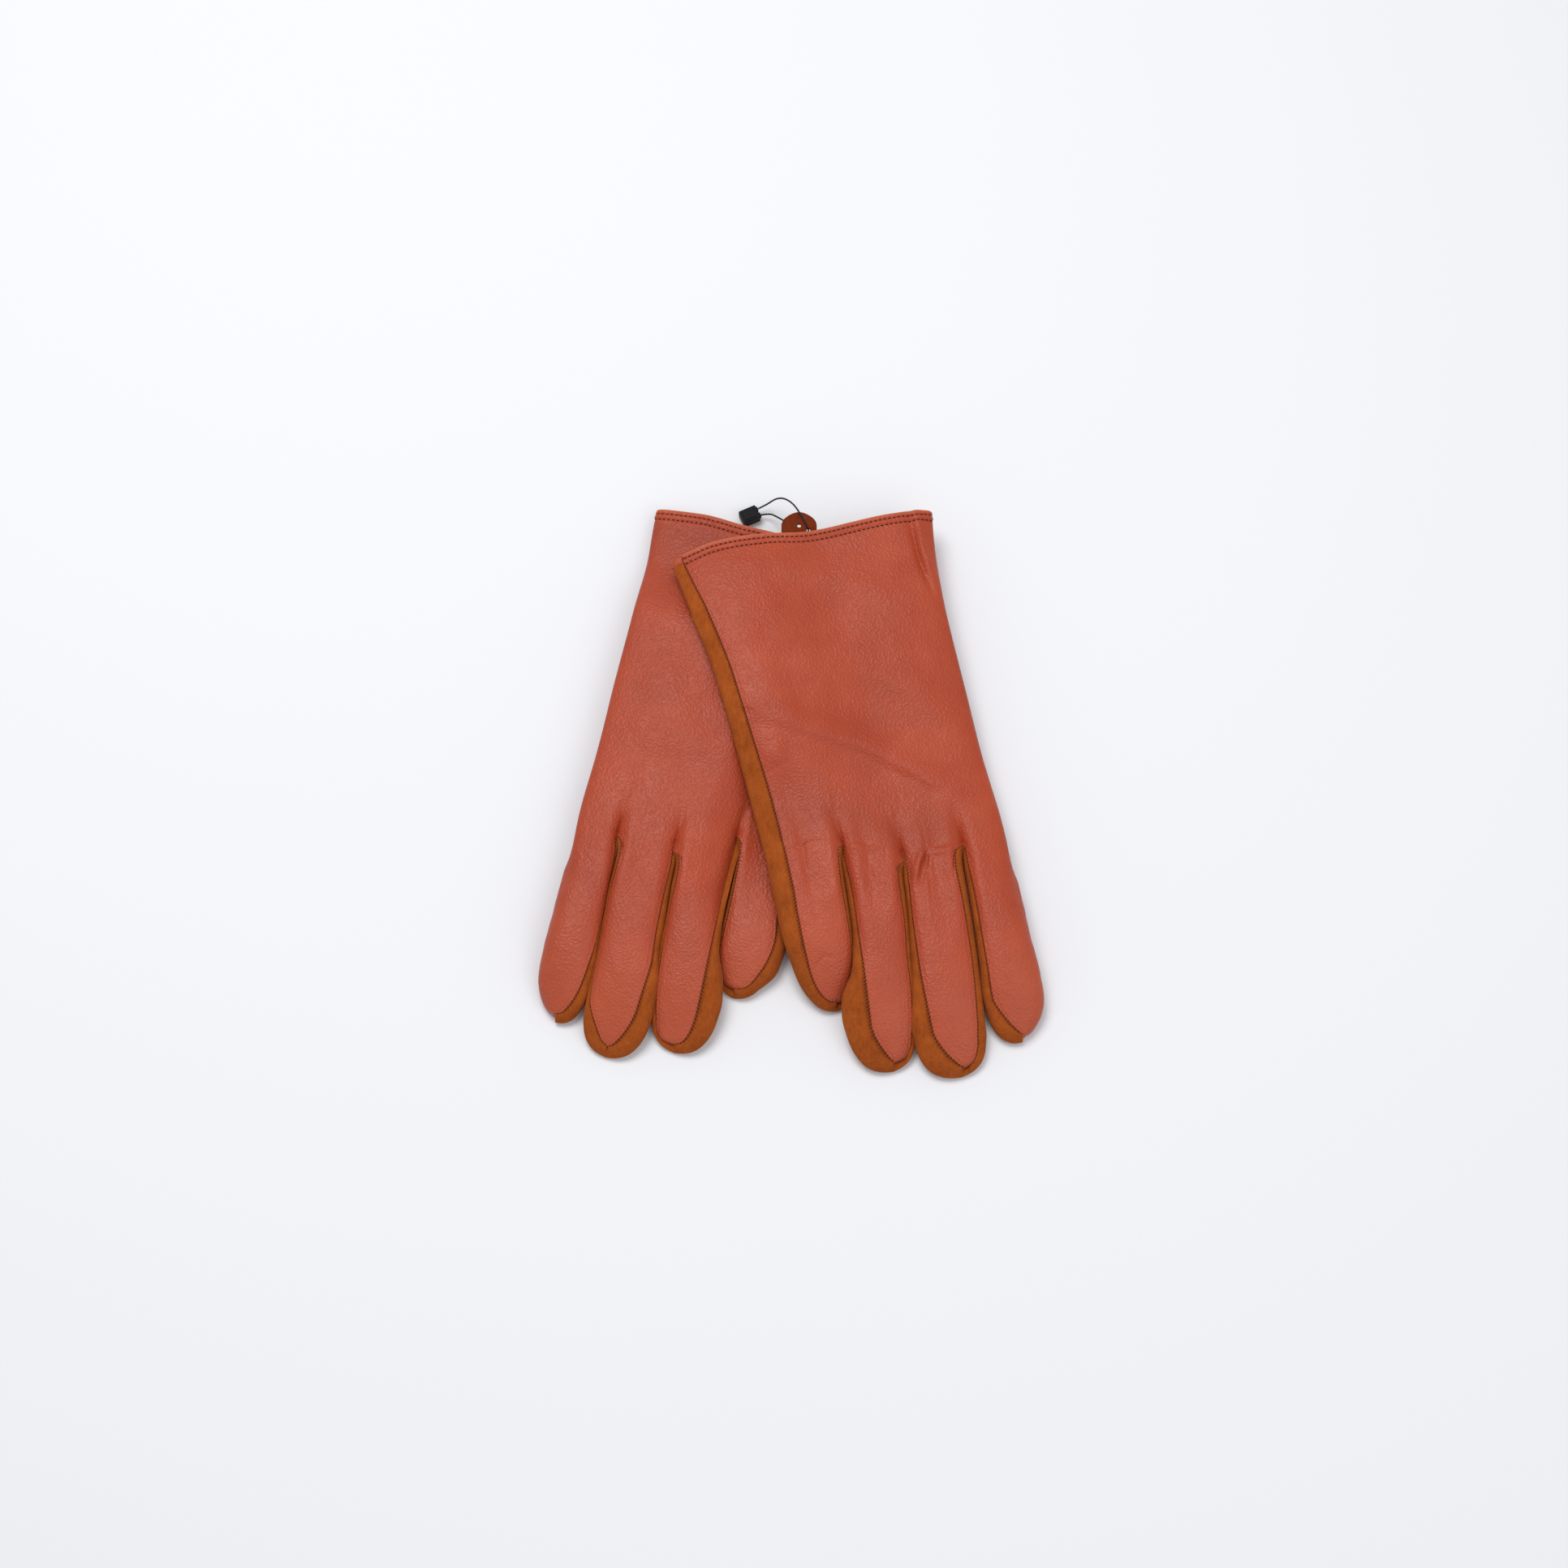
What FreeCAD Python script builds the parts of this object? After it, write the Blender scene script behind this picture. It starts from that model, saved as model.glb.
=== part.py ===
import FreeCAD, Part
import math
import os

# A pair of lined dress gloves lying flat, palms down, fingers towards -Y, the right glove laid over the
# left one. Each glove has smooth leather on the back of the hand and suede on the palm and between the
# fingers. Every glove is built in its own coordinates: w runs across the hand, positive towards the index
# finger, v runs from the cuff to the fingertips, and z is the height above the table. Millimetres.

V = FreeCAD.Vector

# Placement of the two gloves: the middle of the cuff, the lean of the hand from -Y, and +1 for the right
# hand, whose index side points to +X, or -1 for the left.
GLOVES = {
    "right": {"cuff": (7.8, 103.4), "lean": 15.7, "hand": 1.0},
    "left": {"cuff": (-3.4, 106.7), "lean": 17.0, "hand": -1.0},
}

# Leather, lining and the small gaps between layers
SHELL = 1.0
LINING = 1.1
THUMB_SHELL = 0.8
THUMB_LINING = 0.6
LAYER_GAP = 0.3
SEAM_GAP = 0.1
HEM_WIDTH = 9.0
# Walls thin out where a tube is lower than this, as at the rounded tips
FULL_WALL_HEIGHT = 3.4
ANGLE_STEP = 7.0
# Spans of a section's line that go into one edge
RUN_SPANS = 6
# Angle from the index side to either end of a lining's wall, which meets itself there
LINING_END = 178.0
THUMB_LINING_END = 176.0
# How far a cutting tool reaches past the face it opens
OVERCUT = 1.0

# Hand: one row per cross-section: v, little-finger edge, index edge, slant of the section's plane
HAND_SECTIONS = [
    (0.0, -56.0, 57.0, 0.0),
    (26.0, -51.0, 51.5, 0.0),
    (52.0, -49.0, 49.0, 0.0),
    (85.0, -49.0, 47.0, 0.05),
    (118.0, -49.0, 45.5, 0.14),
    (142.0, -48.0, 45.5, 0.2366),
]
HAND_HALF_HEIGHT = 5.4
KNUCKLE_V = 142.4
KNUCKLE_SLANT = 0.2366
SECTION_POWER = 2.4

# The palm rides over the folded thumb, and the right glove over the left one. Each rise starts at one w
# and is spread over a width.
THUMB_LIFT = 7.8
LEFT_RISE_START, LEFT_RISE_WIDTH = -34.0, 26.0
RIGHT_SLOPE_START, RIGHT_SLOPE_WIDTH = -38.0, 46.0
LEFT_LIFT_SHARE = {0.0: 0.0, 26.0: 0.2, 52.0: 1.0, 142.0: 1.0}
RIGHT_EDGE_BASE = {0.0: 15.6, 26.0: 19.0, 52.0: 18.8, 85.0: 16.8, 118.0: 12.4, 142.0: 12.4}
RIGHT_INDEX_BASE = {0.0: 11.6, 26.0: 11.6, 52.0: 11.2, 85.0: 9.0, 118.0: 7.9, 142.0: 7.9}

# Fingers: middle of the base, half-widths at the base and along the finger, and the tip (w, v)
FINGERS = {
    "pinky": {"w": -35.4, "base": 12.2, "half": 9.7, "tip": (-42.5, 194.5)},
    "ring": {"w": -11.0, "base": 10.6, "half": 10.9, "tip": (-27.4, 224.0)},
    "middle": {"w": 12.3, "base": 11.5, "half": 11.6, "tip": (-2.0, 235.0)},
    "index": {"w": 34.9, "base": 10.4, "half": 10.8, "tip": (22.4, 226.5)},
}
FINGER_HALF_HEIGHT = 6.2
FINGER_GAP = 0.4
FINGER_STATIONS = (0.0, 0.25, 0.5, 0.72, 0.85, 0.94, 0.985, 1.0)
TIP_START = 0.72
TIP_SMALLEST = 0.14
# Shares of a finger's length over which its sections turn square to it and take its full width
TURN_SHARE = 0.5
WIDTH_SHARE = 0.3

# Seams as angles round the tube, from 0 at the index side over 90 on the back to 180 at the little finger
HAND_SEAMS = (-22.0, 147.0)
FINGER_SEAMS = {
    "pinky": (30.0, 125.0),
    "ring": (30.0, 150.0),
    "middle": (30.0, 150.0),
    "index": (-60.0, 150.0),
}
# The fingers' side walls end at these angles below the middle
WALL_LOW = -30.0
WALL_FAR = 210.0

# Thumb, folded flat beneath the palm
THUMB_PIVOT = (28.0, 66.0)
THUMB_LENGTH = 71.0
THUMB_HEEL = 14.5
THUMB_HALF_HEIGHT = 3.7
THUMB_FLATNESS = 0.55
THUMB_REST = 20.0
THUMB_HOLE = 10.5
THUMB_PROFILE = (
    (-1.0, 2.4), (-0.92, 6.5), (-0.6, 11.8), (0.0, 14.5), (0.35, 13.2), (0.68, 11.4), (0.88, 8.8),
    (0.97, 4.8), (1.0, 1.8),
)

# Tab on the right cuff, with the holes for the tag cord
TAB_X = 5.6
TAB_Y = (95.3, 113.6)
TAB_WIDTH = 14.8
TAB_Z = 18.4
TAB_THICKNESS = 1.3
TAB_HOLE_RADIUS = 1.3
TAB_HOLES = ((5.6, 107.7), (9.5, 105.7))

# Tag cord and its seal block
CORD_DIAMETER = 0.9
CORD_ROUTE = [
    (-11.7, 123.2, 2.8), (-8.1, 124.8, 3.4), (-4.5, 124.9, 9.2), (-0.9, 122.2, 16.0), (3.1, 117.3, 21.2),
    (6.6, 111.5, 21.5), (9.5, 105.7, 21.1), (9.5, 105.7, 16.3), (4.4, 109.3, 14.6), (-0.2, 113.5, 11.2),
    (-3.8, 117.7, 6.9), (-6.7, 120.9, 3.2), (-10.4, 120.3, 2.8),
]
ARC_SHARE = 0.45
BLOCK_CENTRE = (-15.3, 119.7)
BLOCK_SIZE = (7.6, 6.0, 4.8)
BLOCK_TURN = 25.0
BLOCK_BASE = 0.4
BLOCK_FILLET = 0.5
SOCKET_RADIUS = 0.9
SOCKET_LENGTH = 0.8
INSERT_RADIUS = 1.3
INSERT_LENGTH = 4.0


def smooth_step(t):
    t = min(max(t, 0.0), 1.0)
    return t * t * (3.0 - 2.0 * t)


def between(table, v):
    """Straight interpolation in a table of value by v."""
    keys = sorted(table)
    v = min(max(v, keys[0]), keys[-1])
    for low, high in zip(keys, keys[1:]):
        if v <= high:
            return table[low] + (table[high] - table[low]) * (v - low) / (high - low)


def hand_base(side, w, v):
    """Height of the underside of the hand above the table."""
    if side == "left":
        rise = smooth_step((w - LEFT_RISE_START) / LEFT_RISE_WIDTH)
        return THUMB_LIFT * rise * between(LEFT_LIFT_SHARE, v)
    share = smooth_step((w - RIGHT_SLOPE_START) / RIGHT_SLOPE_WIDTH)
    return between(RIGHT_EDGE_BASE, v) * (1.0 - share) + between(RIGHT_INDEX_BASE, v) * share


def to_table(side, w, v, z):
    """A point of a glove's own coordinates on the table."""
    glove = GLOVES[side]
    lean = math.radians(glove["lean"])
    x = glove["cuff"][0] + glove["hand"] * (w * math.cos(lean) + v * math.sin(lean))
    y = glove["cuff"][1] + w * math.sin(lean) - v * math.cos(lean)
    return V(x, y, z)


def round_power(value, power):
    return math.copysign(abs(value) ** (2.0 / power), value)


def smooth_edges(points):
    """Edges of one smooth line through points, cut into short runs so that faces on it measure exactly."""
    line = Part.BSplineCurve()
    line.interpolate(points)
    knots = line.getKnots()
    spans = len(knots) - 1
    runs = max(1, round(spans / RUN_SPANS))
    cuts = [knots[round(i * spans / runs)] for i in range(runs + 1)]
    return [line.toShape(a, b) for a, b in zip(cuts, cuts[1:])]


class Section:
    """One flattened oval across a tube, at a middle (w, v), with its cross direction and half sizes."""

    def __init__(self, side, middle, cross, half_width, half_height, height):
        self.side = side
        self.middle = middle
        self.cross = cross
        self.half_width = half_width
        self.half_height = half_height
        self.height = height

    def point(self, angle, inset):
        turn = math.radians(angle)
        inset = inset * min(1.0, self.half_height / FULL_WALL_HEIGHT)
        half_width = self.half_width - inset
        half_height = self.half_height - inset
        u = half_width * round_power(math.cos(turn), SECTION_POWER)
        w = self.middle[0] + u * self.cross[0]
        v = self.middle[1] + u * self.cross[1]
        z = self.height(w, v) + half_height * round_power(math.sin(turn), SECTION_POWER)
        return to_table(self.side, w, v, z)

    def band(self, start, end, outer, inner):
        """Closed wire of the stretch of wall between two angles and two depths."""
        count = max(5, int(abs(end - start) / ANGLE_STEP) + 1)
        angles = [start + (end - start) * i / (count - 1) for i in range(count)]
        outside = smooth_edges([self.point(a, outer) for a in angles])
        inside = smooth_edges([self.point(a, inner) for a in reversed(angles)])
        edges = [
            *outside,
            Part.LineSegment(self.point(end, outer), self.point(end, inner)).toShape(),
            *inside,
            Part.LineSegment(self.point(start, inner), self.point(start, outer)).toShape(),
        ]
        return Part.Wire(edges)


def panel(sections, start, end, outer, inner):
    """Solid wall panel of a tube between two angles, lofted through its sections."""
    solid = Part.makeLoft([s.band(start, end, outer, inner) for s in sections], True, True)
    if solid.Volume < 0:
        solid.reverse()
    return solid


def hand_sections(side, v_low=None, v_high=None):
    """Sections of the hand, between two values of v where these are given."""
    rows = HAND_SECTIONS
    if v_high is not None:
        rows = [interpolate_row(v_low), interpolate_row(v_high)]
    elif v_low is not None:
        rows = [interpolate_row(v_low)] + [r for r in HAND_SECTIONS if r[0] > v_low]
    sections = []
    for v, low, high, slant in rows:
        length = math.hypot(1.0, slant)
        cross = (1.0 / length, slant / length)
        middle_w = (low + high) / 2.0
        middle = (middle_w, v + slant * middle_w)
        half = (high - low) / 2.0 * length

        def height(w, at_v, flat_v=v):
            return HAND_HALF_HEIGHT + hand_base(side, w, flat_v)

        sections.append(Section(side, middle, cross, half, HAND_HALF_HEIGHT, height))
    return sections


def interpolate_row(v):
    for low, high in zip(HAND_SECTIONS, HAND_SECTIONS[1:]):
        if v <= high[0]:
            share = (v - low[0]) / (high[0] - low[0])
            return tuple(a + (b - a) * share for a, b in zip(low, high))


def hand_pieces(side):
    """Back, palm, lining and hem facing of the hand."""
    index_seam, edge_seam = HAND_SEAMS
    shell = hand_sections(side)
    hole = thumb_hole(side)
    depth = SHELL + LAYER_GAP
    lining = hand_sections(side, HEM_WIDTH + 2.0 * LAYER_GAP)
    facing = hand_sections(side, LAYER_GAP, HEM_WIDTH)
    return {
        "back": panel(shell, index_seam + SEAM_GAP, edge_seam - SEAM_GAP, 0.0, SHELL),
        "palm": panel(shell, edge_seam + SEAM_GAP, 360.0 + index_seam - SEAM_GAP, 0.0, SHELL).cut(hole),
        "lining": panel(lining, -LINING_END, LINING_END, depth, depth + LINING).cut(hole),
        "hem_facing": panel(facing, -LINING_END, LINING_END, depth, depth + SHELL),
    }


def thumb_hole(side):
    """Cylinder of the way from the hand into the thumb: it cuts the palm's lower walls only."""
    w, v = THUMB_PIVOT
    low = hand_base(side, w, v) - OVERCUT
    return Part.makeCylinder(THUMB_HOLE, HAND_HALF_HEIGHT + OVERCUT, to_table(side, w, v, low), V(0, 0, 1))


def finger_sections(side, name):
    """Sections of a finger, from the slanted knuckle line to the rounded tip."""
    finger = FINGERS[name]
    base_w = finger["w"]
    base_v = KNUCKLE_V + KNUCKLE_SLANT * base_w + FINGER_GAP
    tip_w, tip_v = finger["tip"]
    base_height = hand_base(side, base_w, HAND_SECTIONS[-1][0]) + FINGER_HALF_HEIGHT
    length = math.hypot(tip_w - base_w, tip_v - base_v)
    along = ((tip_w - base_w) / length, (tip_v - base_v) / length)
    slant = math.atan(KNUCKLE_SLANT)
    square = math.atan2(-along[0], along[1])
    sections = []
    for x in FINGER_STATIONS:
        turn = slant + (square - slant) * smooth_step(x / TURN_SHARE)
        cross = (math.cos(turn), math.sin(turn))
        middle = (base_w + along[0] * length * x, base_v + along[1] * length * x)
        taper = math.sqrt(1.0 - max(0.0, (x - TIP_START) / (1.0 - TIP_START)) ** 2)
        taper = max(taper, TIP_SMALLEST)
        widening = (finger["half"] - finger["base"]) * smooth_step(x / WIDTH_SHARE)
        half = (finger["base"] + widening) * taper
        rise = (base_height - FINGER_HALF_HEIGHT) * (1.0 - x * x)

        def height(w, v, middle_height=FINGER_HALF_HEIGHT + rise):
            return middle_height

        sections.append(Section(side, middle, cross, half, FINGER_HALF_HEIGHT * taper, height))
    return sections


def finger_pieces(side, name):
    """Back, palm, side walls and lining of one finger. Outer fingers have one side wall."""
    sections = finger_sections(side, name)
    low, high = FINGER_SEAMS[name]
    wall_angles = []
    palm_start, palm_end = high, 360.0 + low
    if name != "index":
        wall_angles.append((WALL_LOW, low))
        palm_end = 360.0 + WALL_LOW
    if name != "pinky":
        wall_angles.append((high, WALL_FAR))
        palm_start = WALL_FAR
    walls = [panel(sections, a + SEAM_GAP, b - SEAM_GAP, 0.0, SHELL) for a, b in wall_angles]
    depth = SHELL + LAYER_GAP
    return {
        "back": panel(sections, low + SEAM_GAP, high - SEAM_GAP, 0.0, SHELL),
        "palm": panel(sections, palm_start + SEAM_GAP, palm_end - SEAM_GAP, 0.0, SHELL),
        "fourchette": walls[0] if len(walls) == 1 else Part.makeCompound(walls),
        "lining": panel(sections, -LINING_END, LINING_END, depth, depth + LINING),
    }


def thumb_sections(side):
    """Sections of the thumb, from its round heel past the pivot to the tip."""
    pivot_w, pivot_v = THUMB_PIVOT
    turn = math.radians(THUMB_REST)
    along = (-math.sin(turn), math.cos(turn))
    cross = (along[1], -along[0])
    sections = []
    for x, half in THUMB_PROFILE:
        reach = x * (THUMB_LENGTH if x > 0 else THUMB_HEEL)
        middle = (pivot_w + along[0] * reach, pivot_v + along[1] * reach)
        half_height = min(THUMB_HALF_HEIGHT, THUMB_FLATNESS * half)

        def height(w, v):
            return THUMB_HALF_HEIGHT

        sections.append(Section(side, middle, cross, half, half_height, height))
    return sections


def thumb_pieces(side):
    """Outer and inner halves of the thumb and its lining, open above the pivot."""
    sections = thumb_sections(side)
    w, v = THUMB_PIVOT
    hole = Part.makeCylinder(THUMB_HOLE, THUMB_LIFT, to_table(side, w, v, THUMB_HALF_HEIGHT), V(0, 0, 1))
    depth = THUMB_SHELL + LAYER_GAP
    return {
        "outer": panel(sections, 180.0 + SEAM_GAP, 360.0 - SEAM_GAP, 0.0, THUMB_SHELL),
        "inner": panel(sections, SEAM_GAP, 180.0 - SEAM_GAP, 0.0, THUMB_SHELL).cut(hole),
        "lining": panel(
            sections, -THUMB_LINING_END, THUMB_LINING_END, depth, depth + THUMB_LINING
        ).cut(hole),
    }


def cuff_tab():
    """Suede tab held inside the back of the right cuff, with two cord holes."""
    half = TAB_WIDTH / 2.0
    start, end = TAB_Y
    shoulder = end - half
    left = Part.LineSegment(V(TAB_X - half, start, TAB_Z), V(TAB_X - half, shoulder, TAB_Z))
    crown = Part.Arc(
        V(TAB_X - half, shoulder, TAB_Z), V(TAB_X, end, TAB_Z), V(TAB_X + half, shoulder, TAB_Z)
    )
    right = Part.LineSegment(V(TAB_X + half, shoulder, TAB_Z), V(TAB_X + half, start, TAB_Z))
    root = Part.LineSegment(V(TAB_X + half, start, TAB_Z), V(TAB_X - half, start, TAB_Z))
    outline = Part.Wire([e.toShape() for e in (left, crown, right, root)])
    tab = Part.Face(outline).extrude(V(0, 0, TAB_THICKNESS))
    for x, y in TAB_HOLES:
        below = V(x, y, TAB_Z - OVERCUT)
        tab = tab.cut(Part.makeCylinder(TAB_HOLE_RADIUS, TAB_THICKNESS + 2.0 * OVERCUT, below, V(0, 0, 1)))
    return tab


def cord_path(points):
    """Straight runs joined by tangent arcs, whose radii are printed."""
    points = [V(*p) for p in points]
    edges = []
    here = points[0]
    for before, corner, after in zip(points, points[1:], points[2:]):
        back = (before - corner).normalize()
        ahead = (after - corner).normalize()
        run = min((before - corner).Length, (after - corner).Length)
        trim = ARC_SHARE * run
        half_turn = (math.pi - back.getAngle(ahead)) / 2.0
        radius = trim / math.tan(half_turn)
        print("cord radius %.2f mm" % radius)
        start = corner + back * trim
        end = corner + ahead * trim
        bisector = (back + ahead).normalize()
        middle = corner + bisector * (radius / math.cos(half_turn) - radius)
        edges.append(Part.LineSegment(here, start).toShape())
        edges.append(Part.Arc(start, middle, end).toShape())
        here = end
    edges.append(Part.LineSegment(here, points[-1]).toShape())
    return Part.Wire(edges)


def tag_cord():
    """Free cord from the seal block, over the tab, down through its hole and back to the block."""
    path = cord_path(CORD_ROUTE)
    start = V(*CORD_ROUTE[0])
    direction = V(*CORD_ROUTE[1]) - start
    circle = Part.Wire([Part.makeCircle(CORD_DIAMETER / 2.0, start, direction)])
    cord = path.makePipeShell([circle], True, True, 2)
    section = math.pi * CORD_DIAMETER ** 2 / 4.0
    print("cord length %.1f mm, volume ratio %.4f" % (path.Length, cord.Volume / (section * path.Length)))
    return cord


def block_frame():
    """Middle of the seal block's base and its two directions in plan."""
    turn = math.radians(BLOCK_TURN)
    centre = V(BLOCK_CENTRE[0], BLOCK_CENTRE[1], BLOCK_BASE)
    return centre, V(math.cos(turn), math.sin(turn), 0), V(-math.sin(turn), math.cos(turn), 0)


def seal_pieces():
    """Moulded block with two cord sockets, and the insert that locks in it."""
    length, width, height = BLOCK_SIZE
    centre, along, across = block_frame()
    block = Part.makeBox(length, width, height, V(-length / 2.0, -width / 2.0, 0))
    block = block.makeFillet(BLOCK_FILLET, block.Edges)
    block.Placement = FreeCAD.Placement(centre, FreeCAD.Rotation(V(0, 0, 1), BLOCK_TURN))
    face = centre + along * (length / 2.0)
    ends = [V(*CORD_ROUTE[0]), V(*CORD_ROUTE[-1])]
    sockets = []
    for end in ends:
        mouth = face + along * SOCKET_LENGTH + across * ((end - face).dot(across))
        mouth.z = end.z
        sockets.append(Part.makeCylinder(SOCKET_RADIUS, SOCKET_LENGTH + OVERCUT, mouth, along * -1.0))
    for socket in sockets:
        block = block.fuse(socket)
    rear = centre - along * (length / 2.0) + V(0, 0, height / 2.0)
    bore = Part.makeCylinder(INSERT_RADIUS + LAYER_GAP, INSERT_LENGTH + LAYER_GAP, rear, along)
    insert = Part.makeCylinder(INSERT_RADIUS, INSERT_LENGTH, rear, along)
    return {"seal_block": block.cut(bore).removeSplitter(), "seal_insert": insert}


def all_parts():
    parts = {}
    for side in GLOVES:
        for piece, shape in hand_pieces(side).items():
            parts["%s_%s" % (side, piece)] = shape
        for name in FINGERS:
            for piece, shape in finger_pieces(side, name).items():
                parts["%s_%s_%s" % (side, name, piece)] = shape
        for piece, shape in thumb_pieces(side).items():
            parts["%s_thumb_%s" % (side, piece)] = shape
    parts["cuff_tab"] = cuff_tab()
    parts["tag_cord"] = tag_cord()
    parts.update(seal_pieces())
    return parts


os.makedirs("parts", exist_ok=True)
for node, shape in all_parts().items():
    shape.exportStep("parts/%s.step" % node)
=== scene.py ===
import math

import bmesh
import bpy
import numpy as np
from mathutils import Matrix, Vector, noise


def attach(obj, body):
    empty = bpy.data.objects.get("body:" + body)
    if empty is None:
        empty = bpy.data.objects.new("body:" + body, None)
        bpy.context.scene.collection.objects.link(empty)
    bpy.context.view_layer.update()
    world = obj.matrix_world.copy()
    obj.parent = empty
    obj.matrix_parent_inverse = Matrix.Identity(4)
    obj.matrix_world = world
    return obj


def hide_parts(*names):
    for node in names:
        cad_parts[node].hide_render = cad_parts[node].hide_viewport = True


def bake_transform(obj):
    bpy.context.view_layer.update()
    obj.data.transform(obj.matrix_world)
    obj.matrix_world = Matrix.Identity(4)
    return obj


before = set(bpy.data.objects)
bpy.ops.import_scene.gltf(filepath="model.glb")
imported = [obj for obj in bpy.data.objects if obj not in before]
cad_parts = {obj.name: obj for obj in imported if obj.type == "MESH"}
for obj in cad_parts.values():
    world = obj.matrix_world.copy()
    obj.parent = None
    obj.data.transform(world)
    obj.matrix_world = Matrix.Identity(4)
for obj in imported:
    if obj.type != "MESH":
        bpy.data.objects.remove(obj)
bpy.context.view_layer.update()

MM = 0.001

# ---- camera
scene = bpy.context.scene


def add_object(name, data):
    obj = bpy.data.objects.new(name, data)
    scene.collection.objects.link(obj)
    return obj


camera = add_object("camera", bpy.data.cameras.new("camera"))
camera.data.lens = 75.0
camera.data.sensor_width = 36.0
camera.data.clip_start = 0.05
TARGET = Vector((-0.7, -0.2, 0.0)) * MM
ELEVATION = math.radians(70.0)
DISTANCE = 1.348
camera.location = TARGET + DISTANCE * Vector((0.0, -math.cos(ELEVATION), math.sin(ELEVATION)))
camera.rotation_euler = (math.radians(90.0) - ELEVATION, 0.0, 0.0)
scene.camera = camera
scene.render.resolution_x = 1932
scene.render.resolution_y = 1932


# ---- materials
def srgb(r, g, b):
    """A colour given in 0-255 screen values, as linear light."""
    return [c / 255 / 12.92 if c / 255 <= 0.04045 else ((c / 255 + 0.055) / 1.055) ** 2.4
            for c in (r, g, b)] + [1.0]


class Shader:
    """A node material with a Principled BSDF, and short ways to add nodes to it."""

    def __init__(self, name):
        self.mat = bpy.data.materials.new(name)
        self.mat.use_nodes = True
        self.tree = self.mat.node_tree
        self.bsdf = self.tree.nodes["Principled BSDF"]
        self.coord = self.node("ShaderNodeTexCoord", {}).outputs["Object"]

    def node(self, kind, inputs, **values):
        """A new node. Each input is a plain value or the output that is linked to it."""
        n = self.tree.nodes.new(kind)
        for key, value in values.items():
            setattr(n, key, value)
        for key, value in inputs.items():
            if isinstance(value, bpy.types.NodeSocket):
                self.link(value, n.inputs[key])
            else:
                n.inputs[key].default_value = value
        return n

    def link(self, a, b):
        self.tree.links.new(a, b)

    def noise(self, scale, detail=4.0, roughness=0.6, stretch=None):
        at = self.coord
        if stretch:
            at = self.node("ShaderNodeMapping", {"Vector": at, "Scale": stretch}).outputs["Vector"]
        values = {"Vector": at, "Scale": scale, "Detail": detail, "Roughness": roughness}
        return self.node("ShaderNodeTexNoise", values).outputs["Fac"]

    def cells(self, scale):
        values = {"Vector": self.coord, "Scale": scale}
        return self.node("ShaderNodeTexVoronoi", values, feature="SMOOTH_F1").outputs["Distance"]

    def ramp(self, fac, stops):
        n = self.node("ShaderNodeValToRGB", {"Fac": fac})
        while len(n.color_ramp.elements) < len(stops):
            n.color_ramp.elements.new(0.5)
        for e, (at, colour) in zip(n.color_ramp.elements, stops):
            e.position = at
            e.color = colour
        return n.outputs["Color"]

    def scaled(self, fac, low, high, a, b):
        values = {"Value": fac, "From Min": low, "From Max": high, "To Min": a, "To Max": b}
        return self.node("ShaderNodeMapRange", values).outputs["Result"]

    def mix(self, fac, a, b):
        return self.node("ShaderNodeMix", {0: fac, 6: a, 7: b}, data_type="RGBA").outputs[2]

    def attribute(self, name):
        return self.node("ShaderNodeAttribute", {}, attribute_name=name).outputs["Fac"]

    def bump(self, height, strength, distance, before=None):
        values = {"Height": height, "Strength": strength, "Distance": distance}
        if before:
            values["Normal"] = before
        return self.node("ShaderNodeBump", values).outputs["Normal"]

    def set(self, **values):
        for key, value in values.items():
            self.bsdf.inputs[key.replace("_", " ")].default_value = value


def leather_material(name, light, dark, grain=1.0):
    s = Shader(name)
    light, dark = srgb(*light), srgb(*dark)
    tone = s.ramp(s.noise(38.0, 5.0, 0.62), [(0.3, dark), (0.72, light)])
    mottled = s.mix(s.scaled(s.noise(420.0, 3.0), 0.35, 0.7, 0.0, 0.22), tone, dark)
    worn = s.mix(s.scaled(s.attribute("worn"), 0.0, 1.0, 0.0, 0.55), mottled, srgb(206, 110, 78))
    # The edge attribute darkens towards dark brown: the dark seam edges, and painted shade in the knuckle
    # creases, along the cuff's stitch grooves and over the left glove's top near the cuff.
    darkened = s.mix(s.attribute("edge"), worn, srgb(78, 24, 13))
    s.link(darkened, s.bsdf.inputs["Base Color"])
    normal = s.bump(s.cells(1150.0), 0.7 * grain, 0.00045)
    normal = s.bump(s.noise(2600.0, 2.0), 0.2 * grain, 0.00012, normal)
    s.link(normal, s.bsdf.inputs["Normal"])
    s.link(s.scaled(s.noise(60.0, 4.0), 0.3, 0.7, 0.38, 0.50), s.bsdf.inputs["Roughness"])
    s.set(Specular_IOR_Level=0.30)
    return s.mat


def suede_material(name, light, dark):
    s = Shader(name)
    light, dark = srgb(*light), srgb(*dark)
    patch = s.noise(90.0, 6.0, 0.7)
    streak = s.noise(700.0, 4.0, 0.7, (1.0, 0.35, 1.0))
    tone = s.ramp(s.mix(0.45, patch, streak), [(0.36, dark), (0.66, light)])
    speck = s.mix(s.scaled(s.noise(3200.0, 2.0), 0.52, 0.72, 0.0, 0.30), tone, srgb(188, 118, 66))
    darkened = s.mix(s.attribute("edge"), speck, srgb(70, 30, 14))
    s.link(darkened, s.bsdf.inputs["Base Color"])
    normal = s.bump(s.noise(1500.0, 6.0, 0.75), 0.55, 0.00035)
    s.link(normal, s.bsdf.inputs["Normal"])
    s.set(Roughness=0.95, Specular_IOR_Level=0.08, Sheen_Weight=0.18, Sheen_Roughness=0.6)
    s.bsdf.inputs["Sheen Tint"].default_value = srgb(214, 140, 84)
    return s.mat


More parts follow.
